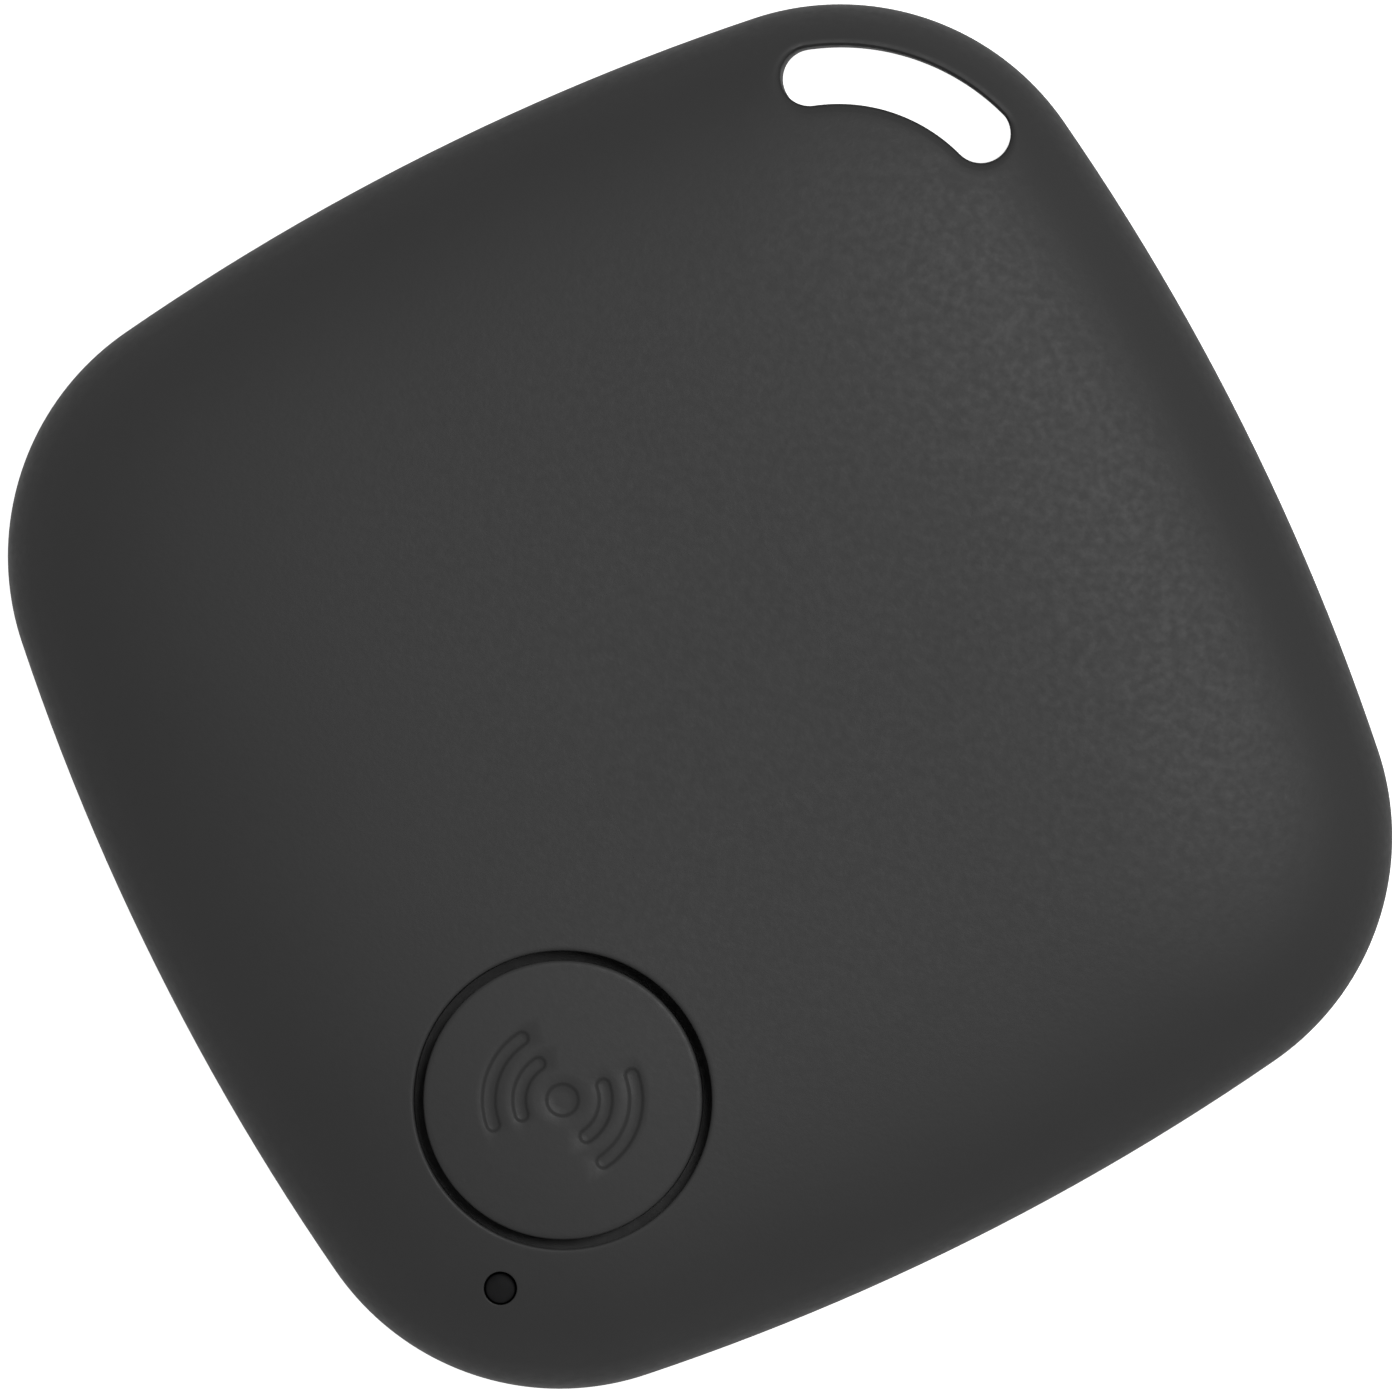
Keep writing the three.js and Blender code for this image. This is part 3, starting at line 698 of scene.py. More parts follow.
def front_blank():
    bores = [circle(0, BUTTON_Y, BUTTON_BORE + d) for d in rounding_steps(BORE_FILLET)]
    pinholes = [circle(0, PINHOLE_Y, PINHOLE_RADIUS + d, 40) for d in rounding_steps(PINHOLE_FILLET)]
    rises = np.linspace(float(front_rise(FACE_SHARE)), SEAM_CHAMFER, 14)
    shares = (1 - (rises / (THICKNESS - PARTING_Z)) ** ROUNDNESS) ** (1 / FULLNESS)
    rim = [at_height(outline() * share, PARTING_Z + rise) for share, rise in zip(shares, rises)]
    holes = [slot_loops(), bores, pinholes]
    return half_blank(holes, 0.75, rounded_front, rim, PARTING_Z + SEAM_OVERLAP)


def front_cavity():
    """The space inside the front shell, which leaves its collar, seat, ribs and bosses."""
    wall_share = 1 - WALL / HALF_WIDTH
    wall_top = PARTING_Z + float(front_rise(wall_share)) - CEILING
    rings = [at_height(outline(WALL), PARTING_Z - 1), at_height(outline(WALL), wall_top)]
    for share in (0.9, 0.87, 0.83, 0.78, 0.72, 0.65, 0.57, 0.47, 0.35, 0.2, 0.06):
        rings.append(at_height(outline() * share, PARTING_Z + float(front_rise(share)) - CEILING))
    cavity = stack(rings)
    cut(cavity, prism(slot_band(COLLAR_HALF_WIDTH), 0, THICKNESS))
    cut(cavity, prism(circle(0, BUTTON_Y, SEAT_RADIUS), SEAT_Z, THICKNESS))
    rib_shift = EAR_HALF_WIDTH + KEY_RIB_GAP + KEY_RIB_WIDTH / 2
    rib_bottom = SEAT_Z - KEY_RIB_HEIGHT / 2
    for x in (-KEY_RIB_X, KEY_RIB_X):
        for y in (BUTTON_Y - rib_shift, BUTTON_Y + rib_shift):
            cut(cavity, box(EAR_LENGTH, KEY_RIB_WIDTH, KEY_RIB_HEIGHT, x, y, rib_bottom))
    for x, y in POSTS:
        boss = prism(circle(x, y, BOSS_RADIUS, 48), PARTING_Z, THICKNESS)
        cut(cavity, cut(boss, prism(circle(x, y, POST_RADIUS + FIT, 32), 0, POST_TOP + 0.2)))
    return cavity


def front_shell(finish):
    shell = cut(front_blank(), front_cavity())
    return piece(shell, "front_shell_moulding", "cover", "shell", finish, ["front_shell"])


def rear_blank():
    edge = (FACE_SHARE - FLAT_BACK) / (1 - FLAT_BACK)
    turns = np.linspace(math.asin(edge), math.pi / 2, 9)
    shares = FLAT_BACK + (1 - FLAT_BACK) * np.sin(turns)
    heights = PARTING_Z * (1 - np.cos(turns))
    heights[-1] = PARTING_Z - SEAM_CHAMFER
    rim = [at_height(outline() * share, z) for share, z in zip(shares, heights)]
    return half_blank([slot_loops()], 0.9, rounded_rear, rim, PARTING_Z)


def rear_lip():
    """The lip that the front shell fits over, open where the slot's collar passes it."""
    root, top = PARTING_Z - LIP_ROOT, PARTING_Z + LIP_HEIGHT
    profile = [
        (LIP_INSET, root),
        (LIP_INSET, top - LIP_CHAMFER),
        (LIP_INSET + LIP_CHAMFER, top),
        (POCKET_INSET - LIP_CHAMFER / 2, top),
        (POCKET_INSET, top - LIP_CHAMFER / 2),
        (POCKET_INSET, root),
    ]
    rings = [at_height(outline(inset), z) for inset, z in profile]
    ring = Solid()
    ring.loft([*rings, rings[0]])
    gap = prism(slot_band(COLLAR_HALF_WIDTH + 2 * FIT), PARTING_Z, top + 1)
    return cut(ring.build(), gap, prism(slot_band(COLLAR_HALF_WIDTH - 0.5), 0, top + 1))


def rear_hollow():
    """What the board's pocket and the well below it take out, less what stands in them."""
    rings = [
        at_height(outline(LEDGE_INSET), FLOOR),
        at_height(outline(LEDGE_INSET), BOARD_Z),
        at_height(outline(POCKET_INSET), BOARD_Z),
        at_height(outline(POCKET_INSET), PARTING_Z + 2),
    ]
    hollow = stack(rings)
    cut(hollow, prism(slot_band(COLLAR_HALF_WIDTH), 0, PARTING_Z - SKIN))
    inner, outer = CELL_SEAT
    ring = prism(circle(0, CELL_Y, outer), 0, CELL_Z - SKIN)
    cut(ring, prism(circle(0, CELL_Y, inner), -1, CELL_Z + 1), box(CELL_CHANNEL, 30, 4, 0, CELL_Y, -1))
    cut(hollow, ring)
    cut(hollow, prism(circle(0, BUTTON_Y, SWITCH_REST_RADIUS, 48), 0, BOARD_Z - SKIN))
    for x, y in POSTS:
        cut(hollow, prism(circle(x, y, POST_FOOT_RADIUS, 32), 0, BOARD_Z - SKIN))
        cut(hollow, turned([(0, 0), (POST_RADIUS, 0), (POST_RADIUS, POST_TOP - 0.15),
                            (POST_RADIUS - 0.15, POST_TOP), (0, POST_TOP)], x, y, 32))
    return hollow


def rear_shell(finish):
    """The rear half with its lip, hollowed out, and a notch for a thumbnail at the button's corner."""
    shell = join(rear_blank(), rear_lip())
    cut(shell, rear_hollow(), box(*NOTCH, 0, -TIP, PARTING_Z - NOTCH[2]))
    return piece(shell, "rear_shell_moulding", "case", "shell", finish, ["rear_shell"])


# ---- button and light pipe --------------------------------------------------------------------

MARK_STROKE = 0.42
MARK_DEPTH = 0.12
MARK_EDGE = 0.16  # how wide the mark's sloping sides are
MARK_HALF_ANGLE = math.radians(38)
MARK_RADII = (1.35, 2.3)
MARK_DOT = 0.5


def mark_distance(points):
    """Distance from the mark's edge, positive outside: a dot between two pairs of arcs."""
    dx, dy = np.abs(points[:, 0]), points[:, 1] - BUTTON_Y
    near = np.hypot(dx, dy) - MARK_DOT
    angle = np.clip(np.arctan2(dy, dx), -MARK_HALF_ANGLE, MARK_HALF_ANGLE)
    for radius in MARK_RADII:
        stroke = np.hypot(dx - radius * np.cos(angle), dy - radius * np.sin(angle))
        near = np.minimum(near, stroke - MARK_STROKE / 2)
    return near


def cap_height(points):
    """The cap's face: the front's curve, a rounded rim and the sunk mark."""
    z = front_height(points)
    z -= rounding(-circle_distance(points, BUTTON_Y, BUTTON_RADIUS), CAP_FILLET)
    depth = np.clip(0.5 - mark_distance(points) / MARK_EDGE, 0, 1)
    return z - MARK_DEPTH * depth * depth * (3 - 2 * depth)


def mark_loops():
    """Outlines of the mark at several distances, which the cap's triangles follow."""
    loops = []
    for offset in np.linspace(-MARK_EDGE / 2, MARK_EDGE / 2, 7):
        loops.append(circle(0, BUTTON_Y, MARK_DOT + offset, 40))
        for radius in MARK_RADII:
            for facing in (0, math.pi):
                start, end = facing - MARK_HALF_ANGLE, facing + MARK_HALF_ANGLE
                half_width = MARK_STROKE / 2 + offset
                loops.append(arc_band(0, BUTTON_Y, radius, half_width, start, end, 12))
    return loops


def cap_body(bottom):
    """The cap's face and its straight side down to bottom."""
    rim = circle(0, BUTTON_Y, BUTTON_RADIUS)
    creases = [circle(0, BUTTON_Y, BUTTON_RADIUS - d) for d in rounding_steps(CAP_FILLET)[1:]]
    scatter = np.vstack([circle(0, BUTTON_Y, radius, 64) for radius in (0.05, 0.2, 0.9, 1.8, 2.75, 3.1)])
    scatter = scatter[np.abs(mark_distance(scatter)) > MARK_EDGE]
    made = Solid()
    made.sheet(rim, [], cap_height, scatter, [*creases, *mark_loops()])
    made.loft([at_height(rim, cap_height(rim)), at_height(rim, bottom)])
    made.cap(at_height(rim, bottom))
    return made.build()


def button_cap(finish):
    """The cap, its flange with two ears, and the post that stands on the switch."""
    bottom, top = FLANGE_TOP - FLANGE_THICKNESS, FLANGE_TOP
    cap = cap_body(bottom)
    foot = bottom + 0.01
    flange = rod(FLANGE_RADIUS, foot, top, 0, BUTTON_Y)
    ears = box(2 * (FLANGE_RADIUS + EAR_LENGTH), 2 * EAR_HALF_WIDTH, FLANGE_THICKNESS - 0.02,
               0, BUTTON_Y, foot)
    join(cap, flange, ears)
    inner, outer = CAP_RECESS
    cut(cap, turned([(inner, bottom - 1), (outer, bottom - 1), (outer, top + 0.3), (inner, top + 0.3)],
                    0, BUTTON_Y))
    foot = BOARD_TOP + SWITCH_HEIGHT + SKIN
    join(cap, turned([(0, foot), (CAP_POST_RADIUS - 0.15, foot), (CAP_POST_RADIUS, foot + 0.12),
                      (CAP_POST_RADIUS, top), (0, top)], 0, BUTTON_Y, 48))
    return piece(cap, "button_cap_moulding", "button", "button", finish, ["button_cap"])


def light_pipe(finish):
    """A smoked rod with a domed tip, a little below the pinhole's edge."""
    low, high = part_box("light_pipe")
    bottom, top = low[2] / MM, high[2] / MM
    flange_bottom = PIPE_FLANGE_TOP - PIPE_FLANGE_THICKNESS
    profile = [(0, bottom), (PIPE_RADIUS - 0.06, bottom), (PIPE_RADIUS, bottom + 0.06),
               (PIPE_RADIUS, flange_bottom), (PIPE_FLANGE_RADIUS, flange_bottom),
               (PIPE_FLANGE_RADIUS, PIPE_FLANGE_TOP), (PIPE_RADIUS, PIPE_FLANGE_TOP)]
    for turn in np.linspace(0, math.pi / 2, 7):
        profile.append((PIPE_RADIUS * math.cos(turn), top - PIPE_DOME * (1 - math.sin(turn))))
    pipe = turned(profile, 0, PINHOLE_Y, 40)
    return piece(pipe, "light_pipe_rod", "cover", "light_pipe", finish, ["light_pipe"])


# ---- building blocks for what is inside ---------------------------------------------------------


def rounded_rectangle(width, length, radius, steps=5):
    """A rectangle about the origin with round corners."""
    corners = []
    for quarter in range(4):
        angles = (quarter + np.linspace(0, 1, steps)) * math.pi / 2
        x = math.copysign(width / 2 - radius, math.cos(angles[steps // 2]))
        y = math.copysign(length / 2 - radius, math.sin(angles[steps // 2]))
        corners.append(np.column_stack([x + radius * np.cos(angles), y + radius * np.sin(angles)]))
    return np.vstack(corners)


def soft_block(width, length, height, corner=0.12, edge=0.05, foot=0.0):
    """A moulded block about the Z axis that stands on foot, with every edge rounded."""
    turns = np.linspace(0, math.pi / 2, 4)
    levels = [(edge * (1 - math.sin(turn)), edge * (1 - math.cos(turn))) for turn in turns]
    levels += [(inset, height - rise) for inset, rise in reversed(levels)]
    rings = []
    for inset, z in levels:
        loop = rounded_rectangle(width - 2 * inset, length - 2 * inset, max(corner - inset, 0.01))
        rings.append(at_height(loop, foot + z))
    return stack(rings)


def smoothed(path, radius, steps=4):
    """A path with its corners rounded."""
    path = [np.array(point, float) for point in path]
    points = [path[0]]
    for before, corner, after in zip(path, path[1:], path[2:]):
        ends = []
        for other in (before, after):
            span = np.linalg.norm(other - corner)
            ends.append(corner + (other - corner) * min(radius, 0.45 * span) / span)
        for share in np.linspace(0, 1, steps + 1):
            start = ends[0] * (1 - share) + corner * share
            end = corner * (1 - share) + ends[1] * share
            points.append(start * (1 - share) + end * share)
    points.append(path[-1])
    return np.array(points)


def ribbon(path, width):
    """The outline of a band of even width along a path, with square ends."""
    path = np.array(path, float)
    step = np.diff(path, axis=0)
    step /= np.linalg.norm(step, axis=1)[:, None]
    along = np.vstack([step[:1], step[:-1] + step[1:], step[-1:]])
    along /= np.linalg.norm(along, axis=1)[:, None]
    lean = (along * np.vstack([step[:1], step])).sum(axis=1)
    side = np.column_stack([-along[:, 1], along[:, 0]]) * (width / 2 / lean)[:, None]
    return np.vstack([path + side, (path - side)[::-1]])


def flat_band(path, width, bottom, top):
    """A flat band along a path, in quads from end to end."""
    loop = ribbon(path, width)
    left, right = loop[:len(path)], loop[len(path):][::-1]
    return stack([np.array([(*a, bottom), (*b, bottom), (*b, top), (*a, top)])
                  for a, b in zip(left, right)])


def strip(path, sheet, width, bend=0.1):
    """Sheet metal bent along a path of (x, z), and equally wide to both sides of Y = 0."""
    made = prism(ribbon(smoothed(path, bend), sheet), -width / 2, width / 2)
    made.data.transform(Matrix.Rotation(math.pi / 2, 4, "X"))
    return made


def moved(obj, x, y, z, turn=0.0):
    place = Matrix.Translation((x, y, z))
    obj.data.transform(place @ Matrix.Rotation(math.radians(turn), 4, "Z"))
    return obj


def moved_by(x, y, along, across, turn):
    """A point moved along and across a direction, given in degrees."""
    c, s = math.cos(math.radians(turn)), math.sin(math.radians(turn))
    return x + along * c - across * s, y + along * s + across * c


def middle_of(node):
    low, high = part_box(node)
    return (low[0] + high[0]) / 2 / MM, (low[1] + high[1]) / 2 / MM


def seated(obj, node, turn=0.0):
    """Moves a shape made about the Z axis to where a node of the frame stands."""
    return moved(obj, *middle_of(node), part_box(node)[0][2] / MM, turn)


def dot(x, y, radius, height):
    """A round land on the board's face."""
    return rod(radius, BOARD_TOP, BOARD_TOP + height, x, y, 24)


# ---- circuit board ----------------------------------------------------------------------------

BOARD_INSET = POCKET_INSET + 0.15
TRACK = 0.25  # how wide most tracks are
INK_LINE = 0.12
TEST_POINT_RADIUS = 0.5
VIA_RADIUS = 0.22

# How far tracks, pads, vias and ink stand above the board.
COPPER = 0.012
PAD = 0.016
VIA = 0.014
INK = 0.01

RADIO_SIDE = 4.0
LAND_WIDTH = 0.22
LAND_SHIFTS = [(step - 3.5) * 0.45 for step in range(8)]  # along each side of the radio chip


def cell_arc(radius, start, end):
    """A track's path round the cell's cut-out, with angles in degrees."""
    return list(arc(0, CELL_Y, radius, math.radians(start), math.radians(end), 30))


def slanting(distance, along, quarter):
    """A point this far from the centre and along one of the four sides: 1 is the upper left."""
    axis = math.pi / 4 + quarter * math.pi / 2
    out = np.array([math.cos(axis), math.sin(axis)])
    return distance * out + along * np.array([out[1], -out[0]])


def antenna_path():
    """A meander along the upper left side."""
    near, far, pitch = 13.9, 16.1, 0.62
    path = [slanting(14.2, -1.6, 1)]
    for turn in range(6):
        along = -0.9 + 2 * turn * pitch
        path += [slanting(near, along, 1), slanting(far, along, 1)]
        path += [slanting(far, along + pitch, 1), slanting(near, along + pitch, 1)]
    return path


def track_paths():
    """The tracks, as (width, path) from part to part."""
    return [
        (0.3, antenna_path()),
        (0.35, [(-14.9, 1.9), (-14.7, 4.6), (-13.5, 7.4), (-12.2, 9.2)]),
        (TRACK, [(-12.1, -0.25), *cell_arc(11.9, 202, 258), (-1.9, -9.6), (-2.6, -10.6), (-2.7, -11.6)]),
        (TRACK, [(-12.5, 0.15), (-11.4, 0.3), *cell_arc(11.4, 199, 270), (0.3, -8.4)]),
        (TRACK, [(-12.9, 0.55), (-12.0, 1.0), *cell_arc(10.9, 196, 300)]),
        (TRACK, [(-13.5, -2.35), (-12.7, -3.2), (-12.5, -4.3)]),
        (TRACK, [(-12.8, -1.65), (-11.3, -3.2), (-10.8, -4.3)]),
        (TRACK, [(-14.6, -3.3), (-13.7, -4.2)]),
        (TRACK, [(-16.1, -2.1), (-16.1, -4.4), (-12.94, -8.7)]),
        (TRACK, [(-16.5, -1.7), (-16.9, -4.0), (-15.2, -6.9), (-11.9, -9.76)]),
        (TRACK, [(-8.9, -7.0), (-7.2, -8.4), (-5.2, -8.4), (-3.5, -8.4)]),
        (TRACK, [(-5.2, -10.0), (-5.2, -12.4), (-6.6, -15.0), (-9.76, -11.9)]),
        (TRACK, [(-3.5, -10.0), (-3.5, -11.0), (-2.9, -11.7)]),
        (TRACK, [(3.5, -10.0), (3.5, -11.0), (2.9, -11.7)]),
        (TRACK, [(5.2, -10.0), (5.7, -12.6), (5.2, -16.8), (3.8, -18.1)]),
        (TRACK, [(2.7, -18.2), (1.7, -18.5), (0.8, -19.2)]),
        (TRACK, [(-0.8, -19.2), (-2.2, -18.0), (-4.4, -16.9)]),
        (TRACK, [(3.5, -8.4), (5.2, -8.4), (6.4, -7.4), (7.6, -7.2)]),
        (0.4, [(9.2, -7.1), (10.4, -6.4)]),
        (0.5, [(11.9, -4.4), (12.5, -3.6), (12.8, -2.1)]),
        (0.5, [(12.6, -4.8), (14.4, -4.2), (15.6, -2.2)]),
        (0.8, [*cell_arc(11.6, 318, 345), (11.4, 2.2)]),
        (0.8, [(11.4, 6.0), *cell_arc(11.6, 17, 52)]),
        (0.8, [(-11.4, 6.0), *cell_arc(11.5, 167, 159)]),
        (0.3, [(10.0, -9.2), (12.6, -8.4), (15.4, -5.6), (18.2, -1.6), (18.4, 1.0)]),
    ]


def part_pads():
    """Tinned lands as (width, length, x, y, turn)."""
    pads = []
    for side in (-1, 1):
        pads.append((2.3, 5.4, side * 11.5, CELL_Y, 0))
        pads += [(1.3, 1.0, side * 2.85, BUTTON_Y + y, 0) for y in (-1.5, 1.5)]
        pads += [(0.8, 1.4, *moved_by(14.5, -0.2, side * 2.6, y, 45), 45) for y in (-1.3, 1.3)]
    for node, (width, length, _, turn) in TWO_ENDED.items():
        x, y = middle_of(node)
        for side in (-1, 1):
            shift = side * width * 0.44
            pads.append((width * 0.36, length + 0.15, *moved_by(x, y, shift, 0, turn), turn))
    x, y = middle_of("bluetooth_chip")
    for turn in (45, 135, 225, 315):
        for shift in LAND_SHIFTS:
            pads.append((0.4, LAND_WIDTH, *moved_by(x, y, RADIO_SIDE / 2, shift, turn), turn))
    return pads


def test_points():
    return [slanting(15.3, along, 2) for along in (-3, -1.5, 0, 1.5, 3)]


def ink_outlines():
    """Printed outlines of parts, as (width, length, x, y, turn)."""
    outlines = [(5.6, 5.6, *middle_of("buzzer_case"), 45), (7.4, 5.4, 0, BUTTON_Y, 0)]
    outlines += [(5.2, 5.2, *middle_of("bluetooth_chip"), 45), (3.7, 3.0, *middle_of("crystal"), 45)]
    for node, (width, length, _, turn) in TWO_ENDED.items():
        outlines.append((width * 1.5, length + 0.6, *middle_of(node), turn))
    return outlines


def open_outline(width, length, x, y, turn):
    """A rectangle's outline with a gap in the middle of its right side."""
    gap = length * 0.12
    corners = [(1, gap / length), (1, 0.5), (-1, 0.5), (-1, -0.5), (1, -0.5), (1, -gap / length)]
    return [moved_by(x, y, side * width / 2, share * length, turn) for side, share in corners]


def circuit_board(finishes):
    """The board, with holes for the cell, the posts and the slot's collar, and bare edges."""
    below, above = BOARD_Z - 1, BOARD_TOP + 1
    holes = [circle(0, CELL_Y, CELL_HOLE), slot_band(COLLAR_HALF_WIDTH + 0.2)]
    holes += [circle(x, y, POST_RADIUS + 2 * FIT, 32) for x, y in POSTS]
    board = prism(outline(BOARD_INSET), BOARD_Z, BOARD_TOP)
    cut(board, *[prism(hole, below, above) for hole in holes])
    piece(board, "board_laminate", "case", "board", finishes["board"], ["circuit_board"])
    repaint(board, finishes["laminate"], lambda face: abs(face.normal.z) <= 0.5)


def board_face(finishes):
    """The tracks, tinned lands, gilded points and printed outlines on the board."""
    paths = track_paths()
    tracks = [flat_band(smoothed(path, 0.3, 2), width, BOARD_TOP - COPPER, BOARD_TOP + COPPER)
              for width, path in paths]
    piece(merge(tracks), "board_tracks", "case", "board", finishes["masked_copper"])
    pads = [moved(soft_block(width, length, 2 * PAD, 0.08, PAD / 2), x, y, BOARD_TOP - PAD, turn)
            for width, length, x, y, turn in part_pads()]
    piece(merge(pads), "board_pads", "case", "spring", finishes["tin"])
    points = [dot(x, y, TEST_POINT_RADIUS, PAD) for x, y in test_points()]
    points += [dot(*end, VIA_RADIUS, VIA) for _, path in paths[1:] for end in (path[0], path[-1])]
    piece(merge(points), "board_test_points", "case", "coil", finishes["gold"])
    lines = [flat_band(open_outline(*spec), INK_LINE, BOARD_TOP - INK, BOARD_TOP + INK)
             for spec in ink_outlines()]
    piece(merge(lines), "board_ink", "case", "separator", finishes["ink"])


# ---- small parts on the board -------------------------------------------------------------------

# Node: width between its ends, length, height, turn in degrees.
TWO_ENDED = {
    "resistor_1": (1.6, 0.8, 0.45, 90),
    "resistor_2": (1.6, 0.8, 0.45, 90),
    "resistor_3": (1.0, 0.5, 0.35, 0),
    "capacitor_1": (1.6, 0.8, 0.8, 90),
    "capacitor_2": (1.6, 0.8, 0.8, 90),
    "capacitor_3": (1.0, 0.5, 0.5, 45),
    "capacitor_4": (1.0, 0.5, 0.5, 45),
    "capacitor_5": (1.0, 0.5, 0.5, -45),
    "led": (1.6, 0.8, 0.45, 0),
}

# The layers of each kind: name, slot and finish, then width, length, height and foot as shares of
# the part's own sizes, then how round its corners and edges are.
LAYERS = {
    "resistor": [
        ("body", "epoxy", "alumina", (0.6, 1, 0.85, 0), (0.03, 0.02)),
        ("glaze", "epoxy", "resistive", (0.58, 0.94, 0.14, 0.84), (0.05, 0.02)),
    ],
    "capacitor": [("body", "ceramic", "ceramic", (0.6, 0.97, 0.97, 0), (0.05, 0.03))],
    "led": [
        ("carrier", "led", "alumina", (0.6, 1, 0.4, 0), (0.03, 0.02)),
        ("lens", "led", "led", (0.66, 0.96, 0.62, 0.38), (0.1, 0.08)),
    ],
}


def soldered_ends(width, length, height):
    """Two tinned ends, each with a low fillet of solder at its foot."""
    wrap = width * 0.22
    ends = []
    for side in (-1, 1):
        x = side * (width - wrap) / 2
        ends.append(moved(soft_block(wrap, length, height, 0.05, 0.04), x, 0, 0))
        foot = [(x, 0.02), (x + side * wrap * 0.95, 0.02), (x + side * wrap * 0.45, height * 0.5)]
        ends.append(strip(foot[:2], 0.05, length * 0.9))
        wedge = prism(np.array(foot), -length * 0.42, length * 0.42)
        wedge.data.transform(Matrix.Rotation(math.pi / 2, 4, "X"))
        ends.append(wedge)
    return merge(ends)


def flat_ends(width, length, height):
    return merge([moved(soft_block(width * 0.2, length, height * 0.42, 0.04, 0.03), x, 0, 0)
                  for x in (-width * 0.4, width * 0.4)])


def two_ended(node, finishes):
    """A small part between two ends. The LED's are flat and gilded."""
    width, length, height, turn = TWO_ENDED[node]
    for layer, slot, finish, shares, roundings in LAYERS[node.split("_")[0]]:
        block = soft_block(width * shares[0], length * shares[1], height * shares[2], *roundings,
                           foot=height * shares[3])
        replaced = [node] if layer in ("body", "lens") else []
        piece(seated(block, node, turn), f"{node}_{layer}", "case", slot, finishes[finish], replaced)
    make, finish = (flat_ends, "gold") if node == "led" else (soldered_ends, "tin")
    ends = seated(make(width, length, height), node, turn)
    piece(ends, node + "_ends", "case", "spring", finishes[finish])


def radio_chip(finishes):
    """A moulded square package with a dimple at its first corner and tinned lands on its sides."""
    side, height, turn = RADIO_SIDE, 0.8, 45
    body = soft_block(side, side, height, 0.06, 0.04)
    dimple = turned([(0, height - 0.05), (0.22, height - 0.05), (0.25, height + 1), (0, height + 1)],
                    -1.45, 1.45, 24)
    body = seated(cut(body, dimple), "bluetooth_chip", turn)
    piece(body, "bluetooth_chip_body", "case", "epoxy", finishes["epoxy"], ["bluetooth_chip"])
    lands = []
    for quarter in range(4):
        for shift in LAND_SHIFTS:
            land = moved(soft_block(0.06, LAND_WIDTH, 0.2, 0.02, 0.01), side / 2, shift, 0)
            lands.append(moved(land, 0, 0, 0, quarter * 90))
    lands = seated(merge(lands), "bluetooth_chip", turn)
    piece(lands, "bluetooth_chip_lands", "case", "spring", finishes["tin"])


def crystal(finishes):
    """A ceramic tray closed by a seam-welded lid."""
    tray = seated(soft_block(3.2, 2.5, 0.42, 0.15, 0.03), "crystal", 45)
    piece(tray, "crystal_tray", "case", "epoxy", finishes["epoxy"])
    rim = soft_block(3.0, 2.3, 0.1, 0.2, 0.03, foot=0.41)
    lid = join(rim, soft_block(2.7, 2.0, 0.22, 0.25, 0.07, foot=0.48))
    piece(seated(lid, "crystal", 45), "crystal_lid", "case", "cell", finishes["steel"], ["crystal"])


def gull_wing(reach, width, side):
    """A lead that leaves a package halfway up and turns down to a flat foot."""
    path = [(reach - 0.6, 0.5), (reach - 0.25, 0.5), (reach - 0.15, 0.07), (reach + 0.3, 0.07)]
    return strip([(side * x, z) for x, z in path], 0.11, width, 0.08)


def package(node, width, length, height, turn, leads, finishes):
    """A small moulded package.

    Each lead is (along, side, way): way is 90 for one that leaves a long side, at this place along
    it, and 0 for one that leaves the middle of an end.
    """
    body = soft_block(width, length, height - 0.08, 0.06, 0.05, foot=0.08)
    piece(seated(body, node, turn), node + "_body", "case", "epoxy", finishes["epoxy"], [node])
    made = []
    for along, side, way in leads:
        reach = (length if way else width) / 2 + 0.1
        made.append(moved(gull_wing(reach, 0.4, side), along, 0, 0, way))
    made = seated(merge(made), node, turn)
    piece(made, node + "_leads", "case", "spring", finishes["tin"])


def small_parts(finishes):
    for node in TWO_ENDED:
        two_ended(node, finishes)
    radio_chip(finishes)
    crystal(finishes)
    transistor_leads = [(-0.95, -1, 90), (0.95, -1, 90), (0, 1, 90)]
    package("driver_transistor", 2.9, 1.3, 1.0, 45, transistor_leads, finishes)
    package("flyback_diode", 1.7, 1.25, 0.8, 0, [(0, -1, 0), (0, 1, 0)], finishes)


# ---- coin cell and its contacts -----------------------------------------------------------------


def round_part(node, name, slot, finish, profile, bend=0.1):
    """A part of the cell: its profile is (radius, height) above the cell's underside."""
    path = smoothed(profile, bend)
    made = turned([(radius, CELL_Z + z) for radius, z in path], 0, CELL_Y)
    return piece(made, name, "case", slot, finish, [node])


